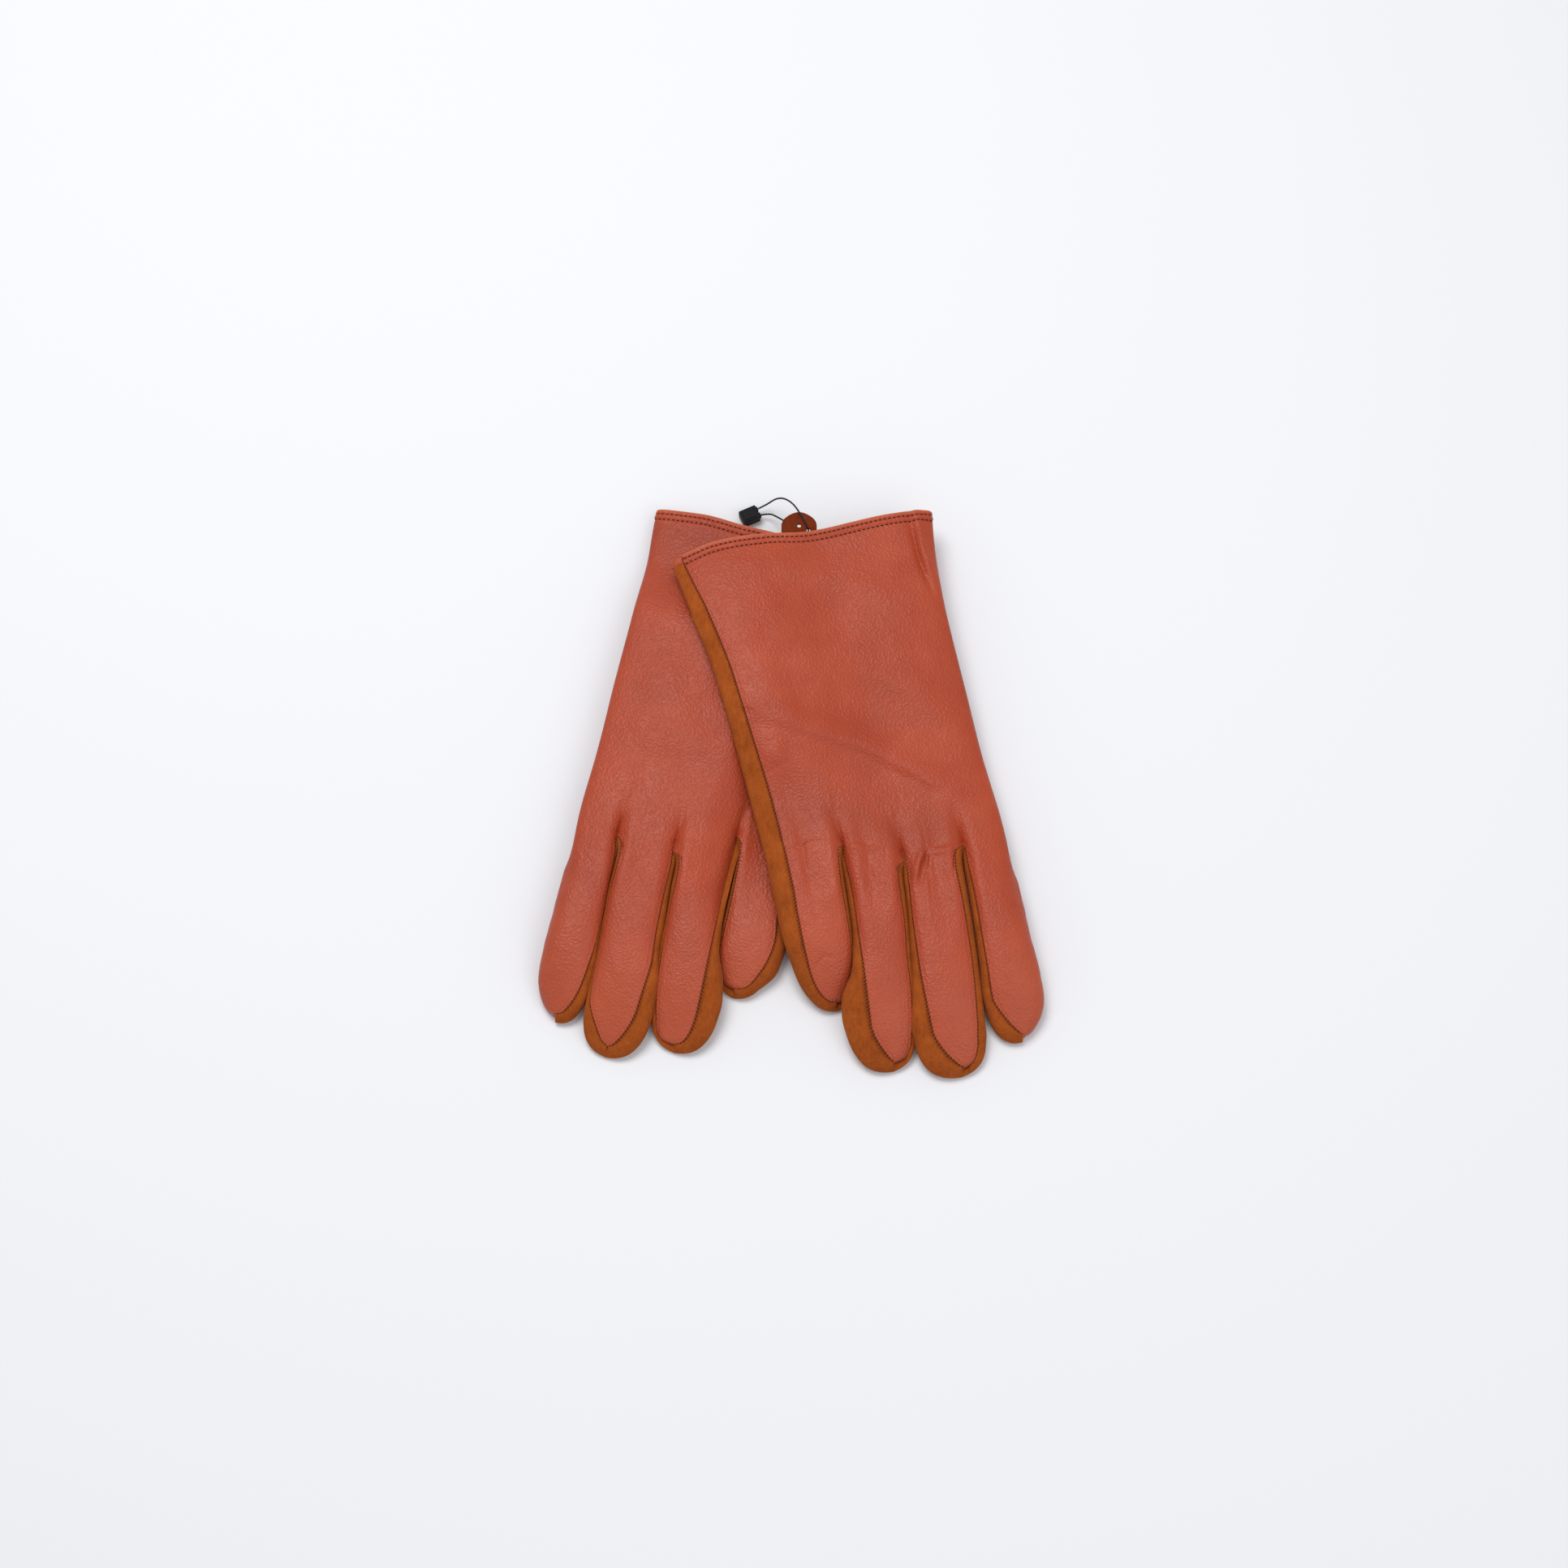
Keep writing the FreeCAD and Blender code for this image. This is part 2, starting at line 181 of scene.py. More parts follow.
def plain_material(name, light, dark, scale, roughness, bump=0.2, distance=0.0001, spec=0.4):
    s = Shader(name)
    s.link(s.ramp(s.noise(scale), [(0.3, srgb(*dark)), (0.7, srgb(*light))]), s.bsdf.inputs["Base Color"])
    s.link(s.bump(s.noise(scale * 4), bump, distance), s.bsdf.inputs["Normal"])
    s.set(Roughness=roughness, Specular_IOR_Level=spec)
    return s.mat


LEATHER = leather_material("leather", (176, 71, 41), (160, 61, 35))
RIM = leather_material("leather_rim", (196, 100, 56), (172, 80, 42), 0.6)
SUEDE = suede_material("suede", (170, 83, 30), (134, 60, 18))
TAB_SUEDE = suede_material("tab_suede", (122, 44, 19), (86, 26, 11))
KNIT = plain_material("knit_lining", (150, 92, 60), (120, 70, 44), 900.0, 0.95, 0.8, 0.0003, 0.1)
THREAD = plain_material("thread", (84, 24, 13), (54, 15, 8), 1800.0, 0.7, 0.5, 0.0001, 0.25)
SEAM_THREAD = plain_material("seam_thread", (74, 28, 14), (48, 18, 9), 1800.0, 0.75, 0.5, 0.0001, 0.2)
CORD = plain_material("tag_cord", (34, 34, 38), (14, 14, 17), 2500.0, 0.6, 0.6, 0.0001, 0.35)
PLASTIC = plain_material("seal_plastic", (17, 17, 21), (9, 9, 12), 300.0, 0.5, 0.15, 0.0001, 0.12)


# ---- shape helpers
def smooth(x):
    x = np.clip(x, 0.0, 1.0)
    return x * x * (3.0 - 2.0 * x)


def bell(x, at, width):
    return np.exp(-(((x - at) / width) ** 2))


def curve(rows, at):
    """A smooth line through (position, value) rows, without overshoot between them."""
    x, y = np.array(sorted(rows), float).T
    d = np.diff(y) / np.diff(x)
    between = np.where(d[1:] * d[:-1] > 0, 2 * d[1:] * d[:-1] / (d[1:] + d[:-1] + 1e-12), 0)
    m = np.concatenate([[d[0]], between, [d[-1]]])
    at = np.clip(at, x[0], x[-1])
    i = np.clip(np.searchsorted(x, at) - 1, 0, len(x) - 2)
    h = x[i + 1] - x[i]
    t = (at - x[i]) / h
    return ((2 * t**3 - 3 * t**2 + 1) * y[i] + (t**3 - 2 * t**2 + t) * h * m[i]
            + (3 * t**2 - 2 * t**3) * y[i + 1] + (t**3 - t**2) * h * m[i + 1])


# The gloves, measured in millimetres: w runs across the hand towards the index finger, v from the cuff to the
# fingertips, z up. For each glove: where w = v = 0 lies in the shared frame, its lean in degrees, its hand.
GLOVES = {"right": ((7.8, 103.4), 15.7, 1.0), "left": ((-3.4, 106.7), 17.0, -1.0)}
POWER = 2.4  # of the rounded sections
HALF_HEIGHT = 5.4
UNDER_ANGLE = -40.0  # where the index side's leather meets the palm, seen along the hand
UNDER_SHARE = 0.42  # of a finger's thickness, the part below its widest line

# Edges of the hand, (v, w): little-finger side and index side
HAND_LO = {"right": [(0, -57), (12, -56), (26, -55.2), (40, -53.9), (55, -53), (100, -53.2), (118, -53.5),
                     (142, -54.2)],
           "left": [(0, -56), (26, -51.5), (52, -49.5), (85, -49.5), (118, -51), (142, -53)]}
HAND_HI = {"right": [(-2, 55.2), (12, 52.2), (26, 49.6), (52, 46.8), (85, 45), (118, 43.3), (146, 43),
                     (160, 42)],
           "left": [(-2, 53.2), (12, 51.2), (26, 48.9), (52, 46.6), (85, 44.3), (118, 41.6), (146, 40.4),
                    (160, 39.2)]}
# Width of the suede strip on the little-finger side, seen from above, (v, width)
STRIP = [(0, 4.6), (12, 5.2), (26, 6.5), (60, 7), (85, 7.6), (110, 8.3), (142, 8)]
# Where the leather is cut between the fingers, and the line where the hand ends: (w, v)
SLITS = {"right": [(-22, 133.6), (0.3, 144.5), (25, 147)],
         "left": [(-23, 131), (-0.5, 144), (23, 147)]}
KNUCKLES = {side: [(-62, v), *SLITS[side], (48, 152), (64, 156)]
            for side, v in (("right", 128), ("left", 126))}
CUFF = {"right": [(-60, -2), (-50, -2.8), (-38, -4), (-17, -2.4), (0, 0.6), (12, 1.3), (30, 1.4), (48, 2.6),
                  (57, 4.2)],
        "left": [(-60, 1), (-40, 0), (-20, -1), (0, -0.8), (17, -0.2), (30, -0.6), (40, 0.3), (50, 1.5),
                 (57, 2.2)]}

# Fingers. Leather edges lo and hi and silhouettes out_lo and out_hi are (v, w) rows; out_hi is hi where it is
# not given. tip and end are (w, v) of the leather's point and of the suede's end, base is the w of the middle
# of the finger's root, and round is how round the leather's two edges run into its point.
FINGERS = {"right": {}, "left": {}}
FINGERS["right"]["pinky"] = dict(
    lo=[(133, -46.4), (146, -46.6), (160, -48), (174, -49), (188, -49.2)],
    hi=[(133.6, -22), (137, -25), (146, -26.8), (159, -28.5), (172, -29.9), (186, -32.5)],
    out_lo=[(133, -54.2), (146, -54.9), (165, -56), (178, -55.2), (192, -53)],
    out_hi=[(133.6, -22), (140, -24.2), (159, -26.8), (172, -28.4), (192, -33)],
    tip=(-41, 194.6), end=(-42, 197), base=-35.4)
FINGERS["right"]["ring"] = dict(
    lo=[(133.6, -22), (137, -20.6), (146, -22.4), (159, -24.4), (173, -26.4), (186, -28.2), (199, -30.2),
        (214, -32.4)],
    hi=[(144.5, 0.3), (148, -3), (158, -5.2), (172, -7.2), (186, -10.2), (199, -12.3), (216, -16.2)],
    out_lo=[(133.6, -22), (140, -24.2), (159, -26.8), (172, -28.6), (186, -33), (196, -40), (206, -42),
            (220, -41)],
    out_hi=[(144.5, 0.3), (151, -1.8), (165, -4), (178, -6.4), (191, -9), (204, -11), (222, -15)],
    tip=(-26.4, 224.6), end=(-27.2, 227.2), base=-11.0, round=(1.3, 2.4))
FINGERS["right"]["middle"] = dict(
    lo=[(144.5, 0.3), (148, 0.6), (158, -1), (172, -3.6), (186, -5.7), (199, -7.4), (212, -8.4),
        (228, -9.2)],
    hi=[(147, 25), (150, 20.6), (157, 18.8), (171, 17.6), (184, 16), (198, 13.9), (210, 11.6), (224, 8.6)],
    out_lo=[(144.5, 0.3), (151, -1.8), (165, -4.2), (178, -7), (191, -10), (204, -13.5), (216, -16.6),
            (228, -16.6)],
    out_hi=[(147, 25), (153, 23), (171, 20.6), (185, 18.8), (198, 16.8), (212, 14.4), (228, 11.6)],
    tip=(-0.2, 234.2), end=(-1.4, 236.8), base=12.3, round=(1.3, 2.2))
FINGERS["right"]["index"] = dict(
    lo=[(147, 25), (150, 25.4), (159, 24.4), (173, 22.9), (186, 21.3), (199, 19.7), (212, 18.2), (224, 18)],
    hi=[(147, 43.6), (164, 42.2), (177, 41.2), (190, 40.2), (204, 39.6), (217, 38.3), (226, 36)],
    out_lo=[(147, 25), (153, 23.4), (171, 20.9), (185, 19), (198, 16.9), (211, 14.6), (222, 14.6)],
    tip=(26.4, 227.6), end=(26, 230), base=34.9, round=(1.25, 2.2))
FINGERS["left"]["pinky"] = dict(
    lo=[(131, -46.5), (146, -47.2), (160, -49), (172, -51.2), (186, -49.5)],
    hi=[(131, -23), (134, -25.8), (145, -27.6), (159, -29.2), (172, -30.2), (186, -31)],
    out_lo=[(131, -53), (146, -54.6), (165, -56.2), (180, -55.6), (190, -52)],
    out_hi=[(131, -23), (138, -25.6), (152, -26.8), (167, -27.6), (181, -29.2), (190, -32)],
    tip=(-40.5, 192.6), end=(-41.2, 195.4), base=-35.4)
FINGERS["left"]["ring"] = dict(
    lo=[(131, -23), (134, -22), (145, -23.4), (159, -25.2), (178, -27.4), (192, -28.8), (205, -29.9),
        (218, -30.6)],
    hi=[(144, -0.5), (147, -4.2), (158, -6.2), (172, -7.4), (186, -9.1), (199, -11.1), (214, -14.4)],
    out_lo=[(131, -23), (138, -25.6), (152, -27), (167, -28.4), (181, -31), (192, -36), (204, -38.6),
            (218, -38)],
    out_hi=[(144, -0.5), (149, -3.2), (162, -4.6), (175, -6.4), (189, -7.6), (202, -9), (218, -12.5)],
    tip=(-24.4, 221.6), end=(-25.4, 224), base=-11.0, round=(2.4, 2.8))
FINGERS["left"]["middle"] = dict(
    lo=[(144, -0.5), (147, -0.8), (155, -2.2), (169, -3.4), (184, -5.2), (198, -7.2), (212, -7),
        (226, -6.6)],
    hi=[(147, 23), (150, 19.8), (156, 18.6), (170, 17.9), (186, 16), (200, 14.6), (214, 12.6), (226, 9.6)],
    out_lo=[(144, -0.5), (149, -3.2), (162, -4.7), (175, -6.6), (189, -8.6), (202, -12.2), (214, -13.4),
            (228, -12.6)],
    out_hi=[(147, 23), (155, 20.4), (169, 19.4), (182, 17.8), (196, 16.2), (212, 14.6), (226, 13)],
    tip=(0.4, 230.4), end=(0.2, 233.8), base=12.3, round=(1.6, 1.6))
FINGERS["left"]["index"] = dict(
    lo=[(147, 23), (150, 22.6), (157, 21), (170, 19.3), (184, 17.9), (198, 16.9), (212, 17.6), (220, 18.4)],
    hi=[(147, 40.8), (160, 39.4), (172, 38.5), (186, 37.5), (200, 36.6), (212, 35.4), (222, 33.5)],
    out_lo=[(147, 23), (155, 20.4), (169, 19.3), (182, 17.6), (196, 15.4), (210, 13.8), (220, 14.2)],
    tip=(24.5, 223.4), end=(24.2, 226.4), base=34.9, round=(2.2, 2.2))
NAMES = ("pinky", "ring", "middle", "index")
# Height of the palm above the table along the gloves, (v, z)
LEFT_LIFT = [(0, 0), (26, 0.2), (52, 1.0), (142, 1.0)]
RIGHT_EDGE = [(0, 15.6), (26, 19.0), (52, 18.8), (85, 16.8), (118, 12.4), (142, 12.4)]
RIGHT_INDEX = [(0, 11.6), (26, 11.6), (52, 11.2), (85, 9.0), (118, 7.9), (142, 7.9)]


def base_height(side, w, v):
    """Height of the palm above the table: it rides over the thumb, and the right glove over the left one."""
    if side == "left":
        return 7.8 * smooth((w + 34.0) / 26.0) * curve(LEFT_LIFT, v)
    share = smooth((w + 38.0) / 46.0)
    return curve(RIGHT_EDGE, v) * (1.0 - share) + curve(RIGHT_INDEX, v) * share


def to_world(side, p):
    """Points given as w, v, z in a glove's own millimetres, as metres in the shared frame."""
    (cx, cy), lean, hand = GLOVES[side]
    c, s = math.cos(math.radians(lean)), math.sin(math.radians(lean))
    w, v, z = p[..., 0], p[..., 1], p[..., 2]
    return np.stack([cx + hand * (w * c + v * s), cy + w * s - v * c, z], -1) * MM


def ridge(w, v, points, width, height, skew=0.0):
    """A soft fold along a line of (w, v) points that dies out at its ends. skew makes one flank steeper."""
    best = np.full(w.shape, 1e9)
    out = np.zeros(w.shape)
    total = sum(math.dist(a, b) for a, b in zip(points, points[1:]))
    run = 0.0
    for a, b in zip(points, points[1:]):
        d = np.array(b, float) - np.array(a, float)
        n = float(np.hypot(*d))
        t = np.clip(((w - a[0]) * d[0] + (v - a[1]) * d[1]) / n**2, 0, 1)
        qw, qv = w - (a[0] + t * d[0]), v - (a[1] + t * d[1])
        dist = np.hypot(qw, qv)
        side = np.sign(qw * d[1] - qv * d[0])
        along = (run + t * n) / total
        wide = width * (1.0 + skew * side)
        value = height * bell(dist, 0.0, wide) * np.sin(np.pi * np.clip(along, 0.04, 0.96)) ** 0.5
        out = np.where(dist < best, value, out)
        best = np.minimum(best, dist)
        run += n
    return out


def field(side, w, v, scale, seed):
    """Smooth random relief between about -1 and 1."""
    z = seed + (9.0 if side == "left" else 0.0)
    flat = [noise.noise(Vector((a / scale, b / scale, z))) for a, b in zip(w.ravel(), v.ravel())]
    return np.array(flat).reshape(w.shape)


def layers(side, w, v, *terms):
    """A sum of random reliefs, each given as (height, scale, seed)."""
    return sum(height * field(side, w, v, scale, seed) for height, scale, seed in terms)


# Folds and wrinkles: points (w, v) along each, its width, its height, and how much steeper one flank is
FOLDS = {
    "right": [
        ([(-43, 4), (-14, 14), (10, 26), (31, 40)], 9, 0.9, 0.25),
        ([(-40, 74), (-21, 87), (-3, 97), (16, 114), (31, 132)], 5.5, 1.25, 0.4),
        ([(-40, 88), (-39, 93), (-38, 98)], 5, 0.9, 0),
        ([(-37, 95), (-36, 116), (-35, 138)], 6.5, -0.9, 0),
        ([(47.5, 3), (45.2, 19.5), (45.8, 32)], 1.6, 0.9, 0.4),
        ([(44, 4), (42.7, 24), (43.8, 42)], 1.3, -0.7, 0.2),
        ([(-34, 46), (-10, 60), (20, 58)], 12, 0.7, 0),
        ([(10, 66), (24, 78), (34, 98)], 7, 0.6, 0.2),
        ([(-31, 34), (-24, 60), (-20, 80)], 7, -0.5, 0),
        ([(-21, 135.6), (-15, 137.3), (-8, 139.4)], 0.8, -0.42, 0.2),
        ([(-20, 138.6), (-14, 140.6), (-7, 142)], 1, 0.3, 0.2),
        ([(1.5, 158.5), (5.6, 151), (9.5, 146)], 1.5, 0.85, 0.5),
        ([(3.6, 160), (7.6, 152), (10.5, 147.4)], 1.1, -0.6, 0.2),
        ([(10, 144.5), (16, 146.3), (22, 146.4)], 0.8, -0.4, 0.2),
        ([(9, 148), (16, 149.4), (22, 149)], 1, 0.3, 0.2),
        ([(-46, 134), (-36, 130.5), (-27, 132)], 0.9, -0.3, 0.2),
        ([(-38, 160), (-31, 154), (-27, 150)], 3, 0.35, 0.2),
        ([(-48, 182), (-42, 178), (-38, 180)], 0.8, -0.25, 0.2),
        ([(-12, 150), (-8, 158), (-12, 172)], 2.2, 0.3, 0.2),
    ],
    "left": [
        ([(-6, 30), (8, 60), (14, 90)], 9, 0.8, 0.1),
        ([(26, 64), (22.6, 81), (18, 96)], 9, 0.8, 0.2),
        ([(-8, 52), (6, 48), (22, 52)], 6, 0.5, 0),
        ([(34, 96), (24, 104), (12, 106)], 6, 0.6, 0.2),
        ([(30, 112), (26, 131), (20, 142)], 6, 0.6, 0.2),
        ([(-20, 96), (0, 102), (24, 98)], 8, 0.7, 0.2),
        ([(-12, 131.5), (-18, 128.8), (-22.5, 129.8)], 0.8, -0.45, 0.2),
        ([(-24, 129.4), (-27, 125), (-28, 120)], 0.8, -0.35, 0.2),
        ([(1, 142.5), (5, 137), (6, 132)], 0.8, -0.4, 0.2),
        ([(0, 142), (-2, 137), (-5, 133)], 0.8, -0.38, 0.2),
        ([(2, 143.2), (8, 142.4), (13, 143)], 0.8, -0.32, 0.2),
        ([(21.5, 136), (22, 143), (22.6, 147)], 2.2, -0.6, 0),
    ],
}


def creases(side, w, v):
    """Height of the folds and sharp wrinkles in the leather of one glove, in millimetres."""
    return sum(ridge(w, v, points, width, height * (1.5 if width > 1.6 else 1.9), skew)
               for points, width, height, skew in FOLDS[side])


def relief(side, w, v):
    """Height of folds, wrinkles and puckers in the leather of one glove, in millimetres."""
    z = layers(side, w, v, (0.42, 26.0, 1.0), (0.16, 9.0, 2.0), (0.05, 3.2, 3.0))
    z += creases(side, w, v)
    for k, (sw, sv) in enumerate(SLITS[side]):
        dw, dv = w - sw, v - sv
        r = np.hypot(dw, dv)
        angle = np.arctan2(dw, -dv)
        rays = np.cos(angle * 6.0 + 0.9 * k) * bell(r, 4.0, 4.0)
        z += 0.45 * rays * smooth(1.2 - np.abs(angle) / 2.2)
    return z


# ---- glove surfaces
# One lane of leather leads to each finger; LANE holds the columns of one lane, from 0 to 1
LANE = np.unique(np.concatenate([[0, 0.006, 0.016, 0.03, 0.05], np.linspace(0.08, 0.92, 30),
                                 [0.95, 0.97, 0.984, 0.994, 1]]))
N_LANE = len(LANE)
LANES = {name: slice(k * (N_LANE - 1), (k + 1) * (N_LANE - 1) + 1) for k, name in enumerate(NAMES)}
HAND_ROWS = np.unique(np.concatenate([np.linspace(0, 0.07, 30), np.linspace(0.07, 1, 168)]))
FINGER_ROWS = np.unique(np.concatenate([np.linspace(0, 0.84, 96),
                                        1 - 0.16 * (1 - np.sin(np.linspace(0, np.pi / 2, 26)))]))
OVAL_POINTS = 400
TOP_POINTS = 327  # of an oval drawn from 180 degrees to UNDER_ANGLE, those of its upper half
N_WALL = 9  # points down a suede side wall
N_BELOW = 20  # half the points under a finger
N_PALM = 90  # points across the palm
TIP_LENGTH = 15.0
FINGER_THICKNESS = 12.0
JOIN_ROWS, JOIN_PASSES = 30, 240  # smoothing where fingers and hand meet
SEAM_PITCH, HEM_PITCH = 1.45, 2.0
HEM_ROWS = (1.5, 4.1)  # distance of the two stitch rows from the cuff's edge
ROLL_RADIUS, FACING_ROWS, BAND_ROWS = 0.8, 34, 12


def oval(lo, hi, mid, up, down, start, stop, count=OVAL_POINTS):
    """Dense points (w, z) of a flat oval section; 180 degrees is on the little finger's side."""
    a = np.radians(np.linspace(start, stop, count))
    c, s = np.cos(a), np.sin(a)
    w = (lo + hi) / 2 + (hi - lo) / 2 * np.sign(c) * np.abs(c) ** (2 / POWER)
    z = mid + np.where(s > 0, up, down) * np.sign(s) * np.abs(s) ** (2 / POWER)
    return w, z


def length_along(*axes):
    return np.concatenate([[0], np.cumsum(np.sqrt(sum(np.diff(a) ** 2 for a in axes)))])


def resample(s, values, at):
    return [np.interp(at, s, x) for x in values]


def hand_v(side, w, f, below=0.0):
    """v of a point of row f of the hand; the palm layer's edge reaches a little further out at the cuff."""
    v0 = curve(CUFF[side], w) - 1.6 * below
    return v0 + f * (curve(KNUCKLES[side], w) - v0)


def hand_row(side, f):
    """Leather points (four lanes) and suede points of one row of the hand."""
    v_lo, v_hi = hand_v(side, -50.0, f), hand_v(side, 47.0, f)
    lo, hi = float(curve(HAND_LO[side], v_lo)), float(curve(HAND_HI[side], v_hi))
    w, z = oval(lo, hi, HALF_HEIGHT, HALF_HEIGHT, HALF_HEIGHT, 180.0, UNDER_ANGLE)
    s = length_along(w, z)
    seam = lo + float(curve(STRIP, v_lo))
    cuts = [seam] + [c0 + f * (sw - c0) for c0, (sw, _) in zip((-29.0, 0.0, 28.0), SLITS[side])]
    marks = list(np.interp(cuts, w[:TOP_POINTS], s[:TOP_POINTS])) + [s[-1]]
    at = np.concatenate([[a + (b - a) * t for t in LANE[(1 if k else 0):]]
                         for k, (a, b) in enumerate(zip(marks, marks[1:]))])
    lw, lz = resample(s, (w, z), at)
    lv = hand_v(side, lw, f, np.clip(-(lz - HALF_HEIGHT) / HALF_HEIGHT, 0, 1))
    leather = np.stack([lw, lv, lz + base_height(side, lw, lv)], -1)
    wall = resample(s, (w, z), np.linspace(marks[0], 0, N_WALL))
    under = oval(lo, hi, HALF_HEIGHT, HALF_HEIGHT, HALF_HEIGHT, -180.0, UNDER_ANGLE)
    s = length_along(*under)
    below = resample(s, under, np.linspace(0, s[-1], N_PALM)[1:])
    sw, sz = np.concatenate([wall, below], axis=1)
    sv = hand_v(side, sw, f, np.clip(-(sz - HALF_HEIGHT) / HALF_HEIGHT, 0, 1))
    suede = np.stack([sw, sv, sz + base_height(side, sw, sv)], -1)
    return leather, suede


def tip_round(v, start, end, power=2.3):
    """Share of the width that is left on the way to a rounded end."""
    return np.maximum(1e-4, 1 - np.clip((v - start) / (end - start), 0, 1) ** power) ** (1 / power)


def finger_row(side, name, g):
    """Leather edge and silhouette of one row of a finger, and its heights."""
    f = FINGERS[side][name]
    v0 = float(curve(KNUCKLES[side], f["base"]))
    v = v0 + g * (f["tip"][1] - v0)
    vo = v0 + g * (f["end"][1] - v0)
    lo, hi = float(curve(f["lo"], v)), float(curve(f["hi"], v))
    (tip_w, tip_v), (end_w, end_v) = f["tip"], f["end"]
    k_lo, k_hi = (float(tip_round(v, tip_v - TIP_LENGTH, tip_v, power))
                  for power in f.get("round", (2.2, 2.2)))
    lo, hi = tip_w + (lo - tip_w) * k_lo, tip_w + (hi - tip_w) * k_hi
    out_lo, out_hi = float(curve(f["out_lo"], vo)), float(curve(f.get("out_hi", f["hi"]), vo))
    k = float(tip_round(vo, end_v - TIP_LENGTH, end_v))
    out_lo, out_hi = end_w + (out_lo - end_w) * k, end_w + (out_hi - end_w) * k
    far = np.clip((g - 0.55) / 0.45, 0, 1)
    thick = FINGER_THICKNESS * (1 - 0.55 * far**2.2)
    root = float(base_height(side, np.array(f["base"]), np.array(142.0)))
    low = root * (1 - g * g)
    return v, vo, lo, hi, out_lo, out_hi, low, thick


def finger_grid(side, name, start_row, before_row, suede_row):
    """Leather and suede grids of a finger, begun at the hand's last row. The index's leather wraps round."""
    wrapped = name == "index"
    leather, ends = [], []
    for g in FINGER_ROWS:
        v, vo, lo, hi, out_lo, out_hi, low, thick = finger_row(side, name, g)
        mid = UNDER_SHARE * thick
        w, z = oval(min(out_lo, lo - 0.01), max(out_hi, hi + 0.01), mid, thick - mid, mid, 180.0, UNDER_ANGLE)
        s = length_along(w, z)
        marks = np.interp([lo, hi], w[:TOP_POINTS], s[:TOP_POINTS])
        if wrapped:
            marks[1] = s[-1]
        lw, lz = resample(s, (w, z), marks[0] + (marks[1] - marks[0]) * LANE)
        leather.append(np.stack([lw, np.full_like(lw, v), lz + low], -1))
        ends.append((vo, out_lo, out_hi, low, thick, mid))
    leather = np.array(leather)
    rest = start_row - leather[0]
    v0 = leather[0, N_LANE // 2, 1]
    fade = 1 - smooth((leather[:, N_LANE // 2, 1] - v0) / 18.0)
    fade_z = 1 - smooth((leather[:, N_LANE // 2, 1] - v0) / 46.0)
    leather = leather + rest[None] * np.stack([fade, fade, fade_z], -1)[:, None, :]
    run = np.maximum(leather[:, N_LANE // 2, 1] - v0, 0)
    slope = (start_row[:, 2] - before_row[:, 2]) / (start_row[:, 1] - before_row[:, 1])
    own = (leather[3, :, 2] - leather[0, :, 2]) / (leather[3, :, 1] - leather[0, :, 1])
    inner = smooth(np.minimum(LANE, 1 - LANE) / 0.12)
    leather[..., 2] += ((slope - own) * inner)[None] * (run * np.exp(-((run / 7.0) ** 2)))[:, None]
    suede = []
    u = np.linspace(0, 1, N_WALL)
    for i, (vo, out_lo, out_hi, low, thick, mid) in enumerate(ends):
        f = fade[i]
        slope_lo, slope_hi = rest[0, 1] * f, rest[-1, 1] * f
        drop = low + rest[N_LANE // 2, 2] * f * 0.5

        def wall(edge, out, slope):
            w = edge[0] + (out - edge[0]) * np.sin(np.pi / 2 * u) ** 0.9
            z = mid + drop + (edge[2] - mid - drop) * np.cos(np.pi / 2 * u) ** 0.9
            return np.stack([w, edge[1] + (vo + slope - edge[1]) * u, z], -1)

        left_wall = wall(leather[i, 0], out_lo, slope_lo)
        under = oval(out_lo, out_hi, mid, thick - mid, mid, -180.0, UNDER_ANGLE if wrapped else 0.0, 200)
        s = length_along(*under)
        bw, bz = resample(s, under, np.linspace(0, s[-1], 2 * N_BELOW)[1:])
        bv = vo + slope_lo + (slope_hi - slope_lo) * (bw - out_lo) / max(out_hi - out_lo, 0.01)
        below = np.stack([bw, bv, np.maximum(mid + drop + (bz - mid) * (1 - 0.18 * f), 0.15)], -1)
        if wrapped:
            below += (leather[i, -1] - below[-1]) * np.linspace(0, 1, len(below))[:, None] ** 1.5
            far_wall = leather[i, -1:]
        else:
            far_wall = wall(leather[i, -1], out_hi, slope_hi)[::-1]
        suede.append(np.concatenate([left_wall, below[:-1], far_wall]))
    suede = np.array(suede)
    if name == "pinky":
        miss = np.zeros_like(suede[0])
        miss[:N_WALL] = suede_row[:N_WALL] - suede[0, :N_WALL]
        miss[N_WALL:2 * N_WALL] = miss[N_WALL - 1] * np.linspace(1, 0, N_WALL)[:, None]
        suede += miss[None] * fade[:, None, None]
    if wrapped:  # the leather closes the tip
        end = suede[-1].T
        s = length_along(*end)
        leather = np.concatenate([leather, np.stack(resample(s, end, LANE * s[-1]), -1)[None]])
    else:  # both side walls meet in one line at the tip
        suede = np.concatenate([suede, (suede[-1:] + suede[-1:, ::-1]) / 2])
        leather = np.concatenate([leather, np.repeat(suede[-1:, :1], N_LANE, axis=1)])
    return leather, suede


def normals(p):
    """Unit normals of a grid of points; they point up for the top of a right glove."""
    a, b = np.gradient(p, axis=0), np.gradient(p, axis=1)
    n = np.cross(a, b)
    return n / (np.linalg.norm(n, axis=-1, keepdims=True) + 1e-12)


def up_normals(p, row, column):
    """Normals of a grid, all turned over if the one at this row and column points down."""
    n = normals(p)
    return n if n[row, column, 2] > 0 else -n


def edge_distance(p):
    """Distance across the grid to its first and last columns, in millimetres."""
    d = np.linalg.norm(np.diff(p, axis=1), axis=-1)
    s = np.concatenate([np.zeros((p.shape[0], 1)), np.cumsum(d, axis=1)], axis=1)
    return s, s[:, -1:] - s


